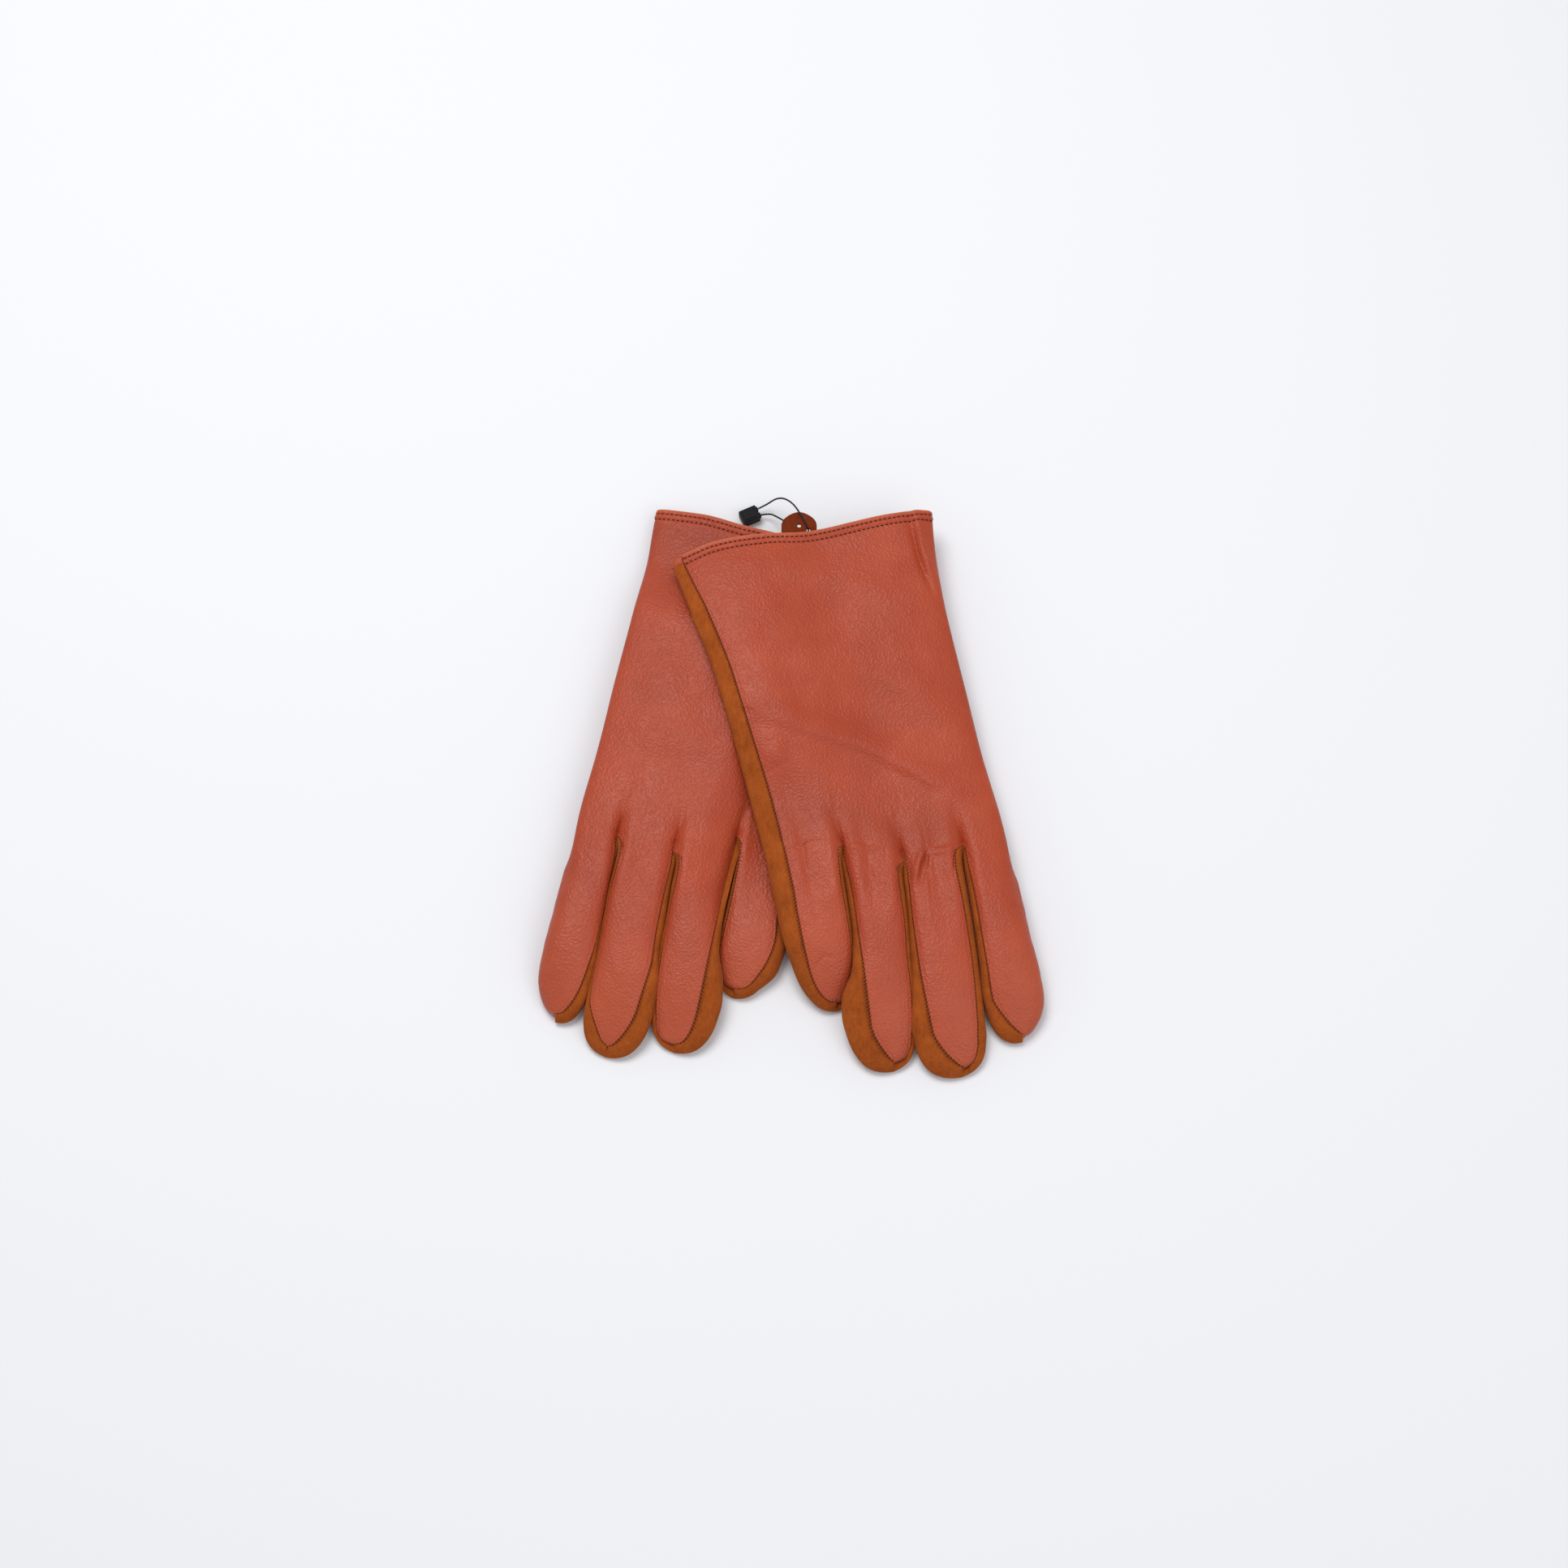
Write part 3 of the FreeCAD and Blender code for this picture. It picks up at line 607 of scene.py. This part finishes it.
def lip(s):
    """Height of the leather's cut edge over the suede, by distance from the seam, in millimetres."""
    return 0.50 * (1 - np.exp(-s / 0.22)) - 0.22 * bell(s, 1.15, 0.4) - 0.03


def add_mesh(name, points, faces, material, vertex_normals=None, attributes=None):
    mesh = bpy.data.meshes.new(name)
    mesh.from_pydata(np.asarray(points).reshape(-1, 3).tolist(), [], faces)
    mesh.polygons.foreach_set("use_smooth", [True] * len(mesh.polygons))
    for key, values in (attributes or {}).items():
        attribute = mesh.attributes.new(key, "FLOAT", "POINT")
        attribute.data.foreach_set("value", np.asarray(values, np.float32).ravel())
    mesh.materials.append(material)
    mesh.update()
    if vertex_normals is not None:
        mesh.normals_split_custom_set_from_vertices(np.asarray(vertex_normals).reshape(-1, 3).tolist())
    obj = add_object(name, mesh)
    return obj


def grid_faces(rows, cols, flip):
    i = np.arange(rows - 1)[:, None] * cols + np.arange(cols - 1)[None]
    quads = np.stack([i, i + cols, i + cols + 1, i + 1], -1).reshape(-1, 4)
    return (quads[:, ::-1] if flip else quads).tolist()


def add_grid(name, grid, flip, material, vertex_normals=None, attributes=None):
    """A mesh over a grid of points in metres."""
    faces = grid_faces(*grid.shape[:2], flip)
    return add_mesh(name, grid, faces, material, vertex_normals, attributes)


def even(grid, worn):
    """Attributes of leather with no marked edge that is equally worn all over."""
    return {"edge": np.zeros(grid.shape[:2]), "worn": np.full(grid.shape[:2], worn)}


def tube_faces(start, rings, sides):
    """Quads of an open tube whose first point has the index start."""
    return [(start + i * sides + j, start + i * sides + (j + 1) % sides,
             start + (i + 1) * sides + (j + 1) % sides, start + (i + 1) * sides + j)
            for i in range(rings - 1) for j in range(sides)]


def tubes(name, lines, radius, material, sides=5):
    """One mesh of short thread stitches; lines is (count, points, 3) in metres."""
    lines = np.asarray(lines, float)
    t = np.gradient(lines, axis=1)
    t /= np.linalg.norm(t, axis=-1, keepdims=True) + 1e-12
    up = np.zeros_like(t)
    up[..., 2] = 1.0
    a = np.cross(t, up)
    a /= np.linalg.norm(a, axis=-1, keepdims=True) + 1e-9
    b = np.cross(a, t)
    k = lines.shape[1]
    taper = np.sin(np.linspace(0.16, 0.84, k) * np.pi)[None, :, None, None]
    angles = np.linspace(0, 2 * np.pi, sides, endpoint=False)[:, None]
    ring = a[:, :, None] * np.cos(angles) + b[:, :, None] * np.sin(angles)
    points = lines[:, :, None] + ring * radius * taper
    faces = []
    for start in range(0, lines.shape[0] * k * sides, k * sides):
        last = start + (k - 1) * sides
        faces += tube_faces(start, k, sides)
        faces += [tuple(range(start, start + sides))[::-1], tuple(range(last, last + sides))]
    return add_mesh(name, points, faces, material)


def sample_grid(p, r, c):
    """Points of a grid at fractional rows and columns."""
    r, c = np.clip(r, 0, p.shape[0] - 1.001), np.clip(c, 0, p.shape[1] - 1.001)
    i, j = np.floor(r).astype(int), np.floor(c).astype(int)
    a, b = (r - i)[..., None], (c - j)[..., None]
    return (p[i, j] * (1 - a) * (1 - b) + p[i + 1, j] * a * (1 - b)
            + p[i, j + 1] * (1 - a) * b + p[i + 1, j + 1] * a * b)


def column_at(p, row, distance, last=False):
    """Fractional column of a grid that lies this far from its first or last column."""
    s, back = edge_distance(p)
    line = s[row] if not last else back[row][::-1]
    c = np.interp(distance, line, np.arange(p.shape[1]))
    return p.shape[1] - 1 - c if last else c


def seam_stitches(name, leather, suede, last=False, first=SEAM_PITCH):
    """Slanting stitches over the seam between the first or last column of a leather grid and the suede."""
    edge = leather[:, -1 if last else 0]
    s = length_along(*(edge / MM).T)
    rows = np.interp(np.arange(first, s[-1] - 1.6, SEAM_PITCH), s, np.arange(len(s)))
    n = normals(leather)
    lines = []
    for r in rows:
        i = int(r)
        inside = column_at(leather / MM, i, 1.0, last)
        middle = column_at(leather / MM, i, 0.35, last)
        step = 0.55 / max(s[min(i + 1, len(s) - 1)] - s[i], 0.05)
        a = sample_grid(leather, r - step, inside)
        b = sample_grid(leather, r, middle)
        e = sample_grid(leather, r + step * 0.4, leather.shape[1] - 1.0 if last else 0.0)
        up = sample_grid(n, r, middle)
        up = up if up[2] > -0.2 else -up
        q = sample_grid(suede, r + step * 0.7, 0.9)
        lines.append([a + up * 0.02 * MM, b + up * 0.10 * MM, e + up * 0.16 * MM,
                      q * 0.5 + e * 0.5 + up * 0.05 * MM])
    return tubes(name, lines, 0.13 * MM, SEAM_THREAD)


def knuckle_shade(w, v):
    """Painted shade: darker leather colour in the creases above the right glove's fingers."""
    gap = curve(KNUCKLES["right"], w) - v
    return 0.14 * bell(gap, 9.0, 12.0) * smooth((30.0 - w) / 16.0)


def worn_patches(side, w, v):
    return 0.16 * np.clip(field(side, w, v, 12.0, 8.0), 0, 1)


def hand_surfaces(side):
    """Grids of the hand's leather and suede, and for each finger those joined on to them."""
    rows = [hand_row(side, f) for f in HAND_ROWS]
    leather = np.array([r[0] for r in rows])
    suede = np.array([r[1] for r in rows])
    w, v = leather[..., 0], leather[..., 1]

    # valleys that lead to the cuts between the fingers
    gap = curve(KNUCKLES[side], w) - v
    reach = smooth(1 - gap / 22.0)
    valley = np.zeros_like(w)
    for sw, sv in SLITS[side]:
        line = sw + (v - sv) * -0.06
        valley += 3.0 * reach**1.5 * np.exp(-((np.abs(w - line) / (2.2 + gap * 0.22)) ** 1.6))
    top = smooth((leather[..., 2] - base_height(side, w, v) - HALF_HEIGHT) / 3.0)
    leather[..., 2] += (relief(side, w, v) - valley) * top

    # the palm layer's edge follows the leather's edge it is sewn to
    shift = leather[:, :1] - suede[:, :1]
    suede[:, :N_WALL] += shift * np.linspace(1, 0, N_WALL)[None, :, None]

    # finger surfaces, with the join at the knuckles smoothed on both sides
    grids = {name: finger_grid(side, name, leather[-1, lane], leather[-4, lane], suede[-1])
             for name, lane in LANES.items()}
    window = np.sin(np.linspace(0, np.pi, 2 * JOIN_ROWS))[:, None, None] ** 2
    for name, lane in LANES.items():
        far_edge = 0.03 if name == "index" else 0.10
        inner = (smooth(LANE / 0.10) * smooth((1 - LANE) / far_edge))[None, :, None]
        finger = grids[name][0]
        joined = np.concatenate([leather[-JOIN_ROWS:, lane], finger[1:JOIN_ROWS + 1]])
        for _ in range(JOIN_PASSES):
            joined[1:-1] += ((joined[:-2] + joined[2:]) / 2 - joined[1:-1]) * (window * inner)[1:-1] * 0.9
        leather[-JOIN_ROWS:, lane] = joined[:JOIN_ROWS]
        finger[1:JOIN_ROWS + 1] = joined[JOIN_ROWS:]
        finger[0] = joined[JOIN_ROWS - 1]
    return leather, suede, grids


def finger_leather(side, name, grid, hand_lift):
    """A finger's leather with raised cut edges, creases and bumps; it starts at the hand's own lift."""
    w, v = grid[..., 0], grid[..., 1]
    run = v - v[0:1]
    n = up_normals(grid, 30, N_LANE // 2)
    a, b = edge_distance(grid)
    nearest = np.minimum(a, b)
    at_slit = (0.0 if name == "pinky" else bell(a, 0.0, 2.0)) + (0.0 if name == "index" else bell(b, 0.0, 2.0))
    edge_lift = lip(a if name == "index" else nearest)
    edge_lift = edge_lift * (1 - (1 - smooth(run / 2.5)) * np.clip(at_slit, 0, 1))
    folds = creases(side, w, v)
    fall = 1 - smooth(run / 18.0)
    grid[..., 2] += (folds - folds[0:1] * fall) * smooth(nearest / 2.0)
    bumps = layers(side, w, v, (0.28, 14.0, 5.0), (0.12, 5.0, 6.0), (0.04, 2.0, 7.0))
    inside = np.clip(nearest / 4.0, 0, 1)
    lift = n * (edge_lift + bumps * inside * smooth(run / 10.0))[..., None]
    hold = 1 - smooth(run / 3.0)
    lift = lift * (1 - hold[..., None]) + hand_lift[None] * hold[..., None]
    return grid + lift * smooth((v[-1:] - v) / 1.6)[..., None]


def add_inside(side, part, outside, flip):
    """The facing turned in at the cuff and the knit lining, inside the hand's leather or its suede."""
    n = up_normals(outside, 10, 60 if part == "top" else 2)
    turn = [outside[0] - n[0] * ROLL_RADIUS * (1 - math.cos(a)) + np.array([0, -ROLL_RADIUS * math.sin(a), 0])
            for a in np.linspace(0, np.pi, 9)]
    inner = outside[1:FACING_ROWS] - n[1:FACING_ROWS] * 2 * ROLL_RADIUS
    roll = to_world(side, np.concatenate([np.array(turn), inner]))
    facing = add_grid(f"{side}_facing_{part}", roll, flip, RIM, None, even(roll, 0.4))
    knit = to_world(side, outside[20:-30:2] - n[20:-30:2] * 1.9)
    lining = add_grid(f"{side}_lining_{part}", knit, flip, KNIT)
    for o, node in ((facing, "hem_facing"), (lining, "lining")):
        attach(o, f"{side}_hand")
        if part == "top":
            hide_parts(f"{side}_{node}")


def add_hem_stitches(side, leather, n, in_v):
    """Two rows of stitches along the cuff; in_v is each leather point's distance from the cuff's edge."""
    stitches = []
    for depth in HEM_ROWS:
        places = [(np.interp(depth, column, np.arange(len(column))), j) for j, column in enumerate(in_v.T)]
        line = np.array([sample_grid(leather, *place) for place in places])
        up = np.array([sample_grid(n, *place) for place in places])
        s = length_along(*line.T)
        for at in np.arange(1.6, s[-1] - 12.0, HEM_PITCH):
            stitches.append([np.array(resample(s, line.T, at + d)) + np.array(resample(s, up.T, at + d)) * h
                             for d, h in ((-0.62, -0.10), (-0.3, 0.13), (0.3, 0.13), (0.62, -0.10))])
    o = tubes(f"{side}_hem_stitches", to_world(side, np.array(stitches)), 0.27 * MM, THREAD)
    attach(o, f"{side}_hand")


def add_finger(side, name, leather, suede, world, world_n, world_suede, flip):
    """One finger's leather, suede, seams and lining. leather and suede are in the glove's millimetres."""
    finger = f"{side}_{name}"
    pinky, index = name == "pinky", name == "index"
    w, v = leather[..., 0], leather[..., 1]
    a, b = edge_distance(leather)
    near = 0.7 * (np.exp(-a / 0.2) + (0 if index else np.exp(-b / 0.2)))
    start_fade = smooth((v - v[0:1]) / 1.5 + (0.5 if pinky else 0.0))
    # Painted shade in the knuckle creases, added to the edge attribute with the dark seam edges.
    shade = knuckle_shade(w, v) if side == "right" else 0
    worn = worn_patches(side, w, v) + 0.4 * smooth((v - (v[-1, 0] - 60)) / 60.0)
    back = add_grid(f"{finger}_leather", world, flip, LEATHER, world_n,
                    {"edge": np.clip(near * start_fade + shade, 0, 1), "worn": worn})
    a, b = edge_distance(suede)
    nap_edge = 0.6 * np.exp(-a / 0.25) + (0 if index else 0.6 * np.exp(-b / 0.25))
    palm = add_grid(f"{finger}_suede", world_suede, not flip, SUEDE, None,
                    {"edge": np.clip(nap_edge, 0, 1)})
    first = SEAM_PITCH * (1 if pinky else 2)
    seams = [seam_stitches(f"{finger}_seam_a", world, world_suede, False, first)]
    if not index:
        mirrored = world_suede[:, ::-1]
        seams.append(seam_stitches(f"{finger}_seam_b", world, mirrored, True, SEAM_PITCH * 2))
    knit = (world - world_n * 1.5 * MM)[10:-8:2, 3:-3]
    lining = add_grid(f"{finger}_lining_v", knit, flip, KNIT)
    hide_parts(f"{finger}_back")
    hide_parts(f"{finger}_palm", f"{finger}_fourchette")
    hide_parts(f"{finger}_lining")
    for o in [back, palm, *seams, lining]:
        if side == "left" and pinky:
            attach(o, "left_hand")
        else:
            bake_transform(o)


def build_glove(side):
    leather, suede, grids = hand_surfaces(side)
    w, v = leather[..., 0], leather[..., 1]
    hand = f"{side}_hand"

    # cuff hem: two stitched grooves with a welt between them
    in_v = v - curve(CUFF[side], w)
    hem = (0.34 * bell(in_v, 2.7, 0.8) - 0.30 * bell(in_v, HEM_ROWS[0], 0.35)
           - 0.30 * bell(in_v, HEM_ROWS[1], 0.35) + 0.12 * bell(in_v, 0.5, 0.5))
    n = up_normals(leather, 40, 60)
    from_seam = edge_distance(leather)[0]
    away = np.ones_like(w)
    for sw, sv in SLITS[side]:
        away *= 1 - np.exp(-(((w - sw) ** 2 + (v - sv) ** 2) / 1.6**2))
    lifted = leather + n * ((hem + lip(from_seam)) * away)[..., None]

    # fingers, with normals shared where they meet the hand
    world = to_world(side, lifted)
    world_n = normals(world)
    sign = 1.0 if world_n[40, 60, 2] > 0 else -1.0
    world_n = world_n * sign
    fingers = {}
    for name, lane in LANES.items():
        top = finger_leather(side, name, grids[name][0], lifted[-1, lane] - leather[-1, lane])
        top_world = to_world(side, top)
        top_n = normals(top_world) * sign
        shared = world_n[-1, lane] + top_n[0]
        shared /= np.linalg.norm(shared, axis=-1, keepdims=True)
        top_n[0] = world_n[-1, lane] = shared
        fingers[name] = top, grids[name][1], top_world, top_n, to_world(side, grids[name][1])

    flip = sign < 0
    # Painted shade: the left glove's leather darkened over its top near the cuff, the right glove's in the
    # knuckle creases.
    if side == "left":
        shade = 0.22 * smooth(1 - in_v / 36.0) * smooth((in_v - 4) / 4.0)
    else:
        shade = knuckle_shade(w, v)
    # Edge attribute: the dark seam edges, painted shade along the two stitch grooves of the cuff, and the
    # painted shade above.
    edge = (shade + 0.7 * np.exp(-(from_seam / 0.2)) * (from_seam < 3)
            + 0.14 * bell(in_v, HEM_ROWS[0], 0.3) + 0.14 * bell(in_v, HEM_ROWS[1], 0.3))
    worn = worn_patches(side, w, v) + 0.5 * bell(in_v, 0.3, 0.6)
    o = add_grid(f"{side}_hand_leather", world, flip, LEATHER, world_n,
                 {"edge": np.clip(edge, 0, 1), "worn": worn})
    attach(o, hand)
    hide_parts(f"{side}_back")

    # hand suede
    from_seam = edge_distance(suede)[0]
    nap = 0.10 * field(side, suede[..., 0] + suede[..., 2], suede[..., 1], 3.0, 11.0)
    palm = to_world(side, suede)
    palm = palm + up_normals(palm, 40, 2) * (nap[..., None] * MM) * np.clip(from_seam / 1.5, 0, 1)[..., None]
    o = add_grid(f"{side}_hand_suede", palm, not flip, SUEDE, None,
                 {"edge": 0.6 * np.exp(-from_seam / 0.25)})
    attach(o, hand)
    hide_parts(f"{side}_palm")

    # short leather band over the suede's end at the cuff
    band = suede[:BAND_ROWS, :N_WALL + 14]
    swell = 0.55 * np.clip(np.sin(np.linspace(0.12, 1.0, BAND_ROWS) * np.pi), 0, 1) ** 0.4
    band = to_world(side, band + up_normals(band, 10, 2) * swell[:, None, None] + np.array([0, -0.25, 0]))
    o = add_grid(f"{side}_hem_band", band, not flip, LEATHER, None, even(band, 0.2))
    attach(o, hand)

    add_inside(side, "top", lifted, not flip)
    add_inside(side, "under", suede, flip)
    add_hem_stitches(side, lifted, n, in_v)
    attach(seam_stitches(f"{side}_side_seam", world, palm), hand)
    for name, surfaces in fingers.items():
        add_finger(side, name, *surfaces, flip)


for side in GLOVES:
    build_glove(side)


# ---- thumbs, folded under the palms
THUMB_ROWS, THUMB_COLUMNS = 60, 48
THUMB_LEAN = math.radians(20.0)
THUMB_HEEL = (28.0, 66.0)  # w, v of the point it turns about
THUMB_START, THUMB_LENGTH = -14.0, 85.0


def build_thumb(side):
    thumb = f"{side}_thumb"
    rows = []
    for q in np.sin(np.linspace(0, np.pi / 2, THUMB_ROWS)):
        along = THUMB_START + q * THUMB_LENGTH
        k = float(tip_round(along, 56.0, 71.0)) * float(smooth((along + 15.5) / 10.0) * 0.75 + 0.25)
        half = (13.6 - 2.8 * q) * k
        high = 3.6 * max(k, 0.3)
        a = np.linspace(np.pi, -np.pi, THUMB_COLUMNS)
        c, s = np.cos(a), np.sin(a)
        x = half * np.sign(c) * np.abs(c) ** (2 / POWER)
        z = 3.9 + high * np.sign(s) * np.abs(s) ** (2 / POWER)
        w = THUMB_HEEL[0] - along * math.sin(THUMB_LEAN) + x * math.cos(THUMB_LEAN)
        v = THUMB_HEEL[1] + along * math.cos(THUMB_LEAN) + x * math.sin(THUMB_LEAN)
        rows.append(np.stack([w, v, z], -1))
    p = np.array(rows)
    p[..., 2] += 0.10 * field(side, p[..., 0], p[..., 1] + p[..., 2] * 2, 6.0, 4.0)
    world = to_world(side, p)
    flip = side == "right"
    middle = THUMB_COLUMNS // 2
    inner, outer = world[:, :middle + 1], world[:, middle:]
    no_edge = {"edge": np.zeros(inner.shape[:2])}
    top = add_grid(f"{thumb}_suede", inner, flip, SUEDE, None, no_edge)
    low = add_grid(f"{thumb}_leather", outer, flip, LEATHER, None, even(outer, 0.2))
    seam = world[:, middle]
    s = length_along(*(seam / MM).T)
    above = np.array([0, 0, 0.12 * MM])
    lines = [[np.array(resample(s, seam.T, at + d)) + above for d in (-0.5, -0.2, 0.2, 0.5)]
             for at in np.arange(2.0, s[-1] - 1.0, 1.6)]
    thread = tubes(f"{thumb}_seam", lines, 0.2 * MM, SEAM_THREAD)
    knit = world[4:-4] + (world[4:-4].mean(1, keepdims=True) - world[4:-4]) * 0.22
    lining = add_grid(f"{thumb}_knit", knit, flip, KNIT)
    for o in (top, low, thread, lining):
        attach(o, thumb)
    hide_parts(f"{thumb}_inner")
    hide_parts(f"{thumb}_outer")
    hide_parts(f"{thumb}_lining")


for side in GLOVES:
    build_thumb(side)


# ---- tag cord
ROUTE = [(-11.7, 123.2, 2.8), (-8.1, 124.8, 3.4), (-4.5, 124.9, 9.2), (-0.9, 122.2, 16.0), (3.1, 117.3, 21.2),
         (6.6, 111.5, 21.5), (9.5, 105.7, 21.1), (9.5, 105.7, 16.3), (4.4, 109.3, 14.6), (-0.2, 113.5, 11.2),
         (-3.8, 117.7, 6.9), (-6.7, 120.9, 3.2), (-10.4, 120.3, 2.8)]
CORD_STEPS = 420
TWIST_LENGTH = 2.1
PLY_OFFSET, PLY_RADIUS, PLY_SIDES = 0.19, 0.25, 8


def add_spline(data, kind, points):
    """A spline through points given in millimetres."""
    spline = data.splines.new(kind)
    spline.points.add(len(points) - 1)
    for point, (x, y, z) in zip(spline.points, points):
        point.co = (x * MM, y * MM, z * MM, 1.0)
    return spline


def mesh_of_curve(data):
    """The mesh that a curve makes; the curve's own object is removed."""
    obj = add_object(data.name, data)
    bpy.context.view_layer.update()
    mesh = bpy.data.meshes.new_from_object(obj)
    bpy.data.objects.remove(obj)
    return mesh


def cord_points():
    data = bpy.data.curves.new("cord_line", "CURVE")
    data.dimensions = "3D"
    data.resolution_u = 24
    spline = add_spline(data, "NURBS", ROUTE)
    spline.order_u = 3
    spline.use_endpoint_u = True
    mesh = mesh_of_curve(data)
    points = np.array([v.co for v in mesh.vertices])
    bpy.data.meshes.remove(mesh)
    s = length_along(*points.T)
    return np.stack(resample(s, points.T, np.linspace(0, s[-1], CORD_STEPS)), -1), s[-1]


path, cord_length = cord_points()
tangent = np.gradient(path, axis=0)
tangent /= np.linalg.norm(tangent, axis=-1, keepdims=True)
across = np.cross(tangent, [0.0, 0.0, 1.0])
u = np.zeros_like(path)
u[0] = across[0] / np.linalg.norm(across[0])
for i in range(1, len(path)):
    d = u[i - 1] - tangent[i] * np.dot(u[i - 1], tangent[i])
    u[i] = d / np.linalg.norm(d)
second = np.cross(tangent, u)
turns = np.linspace(0, cord_length / (TWIST_LENGTH * MM) * 2 * np.pi, len(path))
ring = np.linspace(0, 2 * np.pi, PLY_SIDES, endpoint=False)
verts, faces = [], []
for ply in range(2):
    phase = turns + ply * np.pi
    centre = path + (u * np.cos(phase)[:, None] + second * np.sin(phase)[:, None]) * PLY_OFFSET * MM
    around = u[:, None] * np.cos(ring)[None, :, None] + second[:, None] * np.sin(ring)[None, :, None]
    tube = centre[:, None] + around * PLY_RADIUS * MM
    faces += tube_faces(len(verts), len(path), PLY_SIDES)
    verts.extend(tube.reshape(-1, 3).tolist())
cord = add_mesh("tag_cord_twist", verts, faces, CORD)
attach(cord, "right_hand")
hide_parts("tag_cord")


# ---- seal block
BLOCK = (-15.3, 119.7)
BLOCK_TURN = math.radians(25.0)


def rounded_box(name, centre, size, bevel):
    bm = bmesh.new()
    bmesh.ops.create_cube(bm, size=1.0)
    bmesh.ops.scale(bm, vec=[s * MM for s in size], verts=bm.verts)
    bmesh.ops.bevel(bm, geom=list(bm.edges), offset=bevel * MM, segments=3, profile=0.6, affect="EDGES")
    bmesh.ops.rotate(bm, cent=(0, 0, 0), matrix=Matrix.Rotation(BLOCK_TURN, 3, "Z"), verts=bm.verts)
    bmesh.ops.translate(bm, vec=[c * MM for c in centre], verts=bm.verts)
    mesh = bpy.data.meshes.new(name)
    bm.to_mesh(mesh)
    bm.free()
    mesh.materials.append(PLASTIC)
    return add_object(name, mesh)


block = rounded_box("seal_block_body", (BLOCK[0], BLOCK[1], 2.8), (7.6, 6.0, 4.8), 0.45)
panel = rounded_box("seal_block_panel", (BLOCK[0] - 0.2, BLOCK[1] - 0.1, 5.25), (5.4, 4.2, 0.5), 0.18)
nubs = []
for k, off in enumerate((-1.5, 1.5)):
    x = BLOCK[0] + 3.9 * math.cos(BLOCK_TURN) - off * math.sin(BLOCK_TURN)
    y = BLOCK[1] + 3.9 * math.sin(BLOCK_TURN) + off * math.cos(BLOCK_TURN)
    nubs.append(rounded_box(f"seal_block_nub_{k}", (x, y, 2.8), (1.2, 2.0, 2.4), 0.35))
for o in [block, panel] + nubs:
    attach(o, "right_hand")
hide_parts("seal_block")
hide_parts("seal_insert")


# ---- cuff tab
TAB_X, TAB_HALF_WIDTH = 5.6, 7.2
TAB_START, TAB_SHOULDER, TAB_END = 95.3, 106.6, 113.6
TAB_BASE, TAB_HALF_THICKNESS = 18.4, 0.65
TAB_HOLES = ((5.6, 107.7), (9.5, 105.7))
HOLE_RADIUS = 1.05


def build_tab():
    data = bpy.data.curves.new("tab", "CURVE")
    data.dimensions = "2D"
    data.fill_mode = "BOTH"
    data.extrude = 0.45 * MM
    data.bevel_depth = 0.2 * MM
    data.bevel_resolution = 2
    outline = [(TAB_X - TAB_HALF_WIDTH, TAB_START), (TAB_X + TAB_HALF_WIDTH, TAB_START),
               (TAB_X + TAB_HALF_WIDTH, TAB_SHOULDER)]
    for a in np.radians(np.arange(8, 173, 8)):
        wave = 1.0 + 0.02 * math.sin(5 * a)
        outline.append((TAB_X + TAB_HALF_WIDTH * math.cos(a) * wave,
                        TAB_SHOULDER + (TAB_END - TAB_SHOULDER) * math.sin(a) ** 0.9 * wave))
    outline.append((TAB_X - TAB_HALF_WIDTH, TAB_SHOULDER))
    loops = [outline]
    for x, y in TAB_HOLES:
        loops.append([(x + HOLE_RADIUS * math.cos(a), y + HOLE_RADIUS * math.sin(a))
                      for a in np.linspace(0, 2 * np.pi, 20, endpoint=False)])
    for loop in loops:
        add_spline(data, "POLY", [(x, y, 0.0) for x, y in loop]).use_cyclic_u = True
    mesh = mesh_of_curve(data)
    mesh.name = "cuff_tab_suede"
    mesh.transform(Matrix.Translation((0, 0, TAB_BASE * MM + TAB_HALF_THICKNESS * MM)))
    bm = bmesh.new()
    bm.from_mesh(mesh)
    bmesh.ops.remove_doubles(bm, verts=bm.verts, dist=1e-6)
    bmesh.ops.triangulate(bm, faces=bm.faces)
    for _ in range(2):
        coarse = [e for e in bm.edges if e.calc_length() > 0.8 * MM]
        bmesh.ops.subdivide_edges(bm, edges=coarse, cuts=1)
        bmesh.ops.triangulate(bm, faces=bm.faces)
    bm.to_mesh(mesh)
    bm.free()
    mesh.materials.clear()
    mesh.materials.append(TAB_SUEDE)
    obj = add_object("cuff_tab_suede", mesh)
    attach(obj, "right_hand")
    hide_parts("cuff_tab")


build_tab()


# ---- floor and light
def build_stage():
    bpy.ops.mesh.primitive_plane_add(size=12.0, location=(0, 0, -0.0002))
    floor = bpy.context.object
    floor.name = "floor"
    s = Shader("floor")
    s.set(Base_Color=(0.82, 0.826, 0.845, 1.0), Roughness=0.85, Specular_IOR_Level=0.1)
    floor.data.materials.append(s.mat)
    world = bpy.data.worlds.new("studio")
    scene.world = world
    world.use_nodes = True
    back = world.node_tree.nodes["Background"]
    back.inputs["Color"].default_value = (0.95, 0.965, 1.0, 1.0)
    back.inputs["Strength"].default_value = 0.50
    for name, at, size, power in (("key", (-0.35, 0.55, 1.5), 0.8, 15.0),
                                  ("fill", (0.8, -0.7, 1.5), 1.4, 8.0)):
        light = add_object(name, bpy.data.lights.new(name, "AREA"))
        light.data.size = size
        light.data.energy = power
        light.location = at
        light.rotation_euler = (-Vector(at)).to_track_quat("-Z", "Y").to_euler()


build_stage()
scene.view_settings.view_transform = "Standard"
scene.view_settings.look = "None"
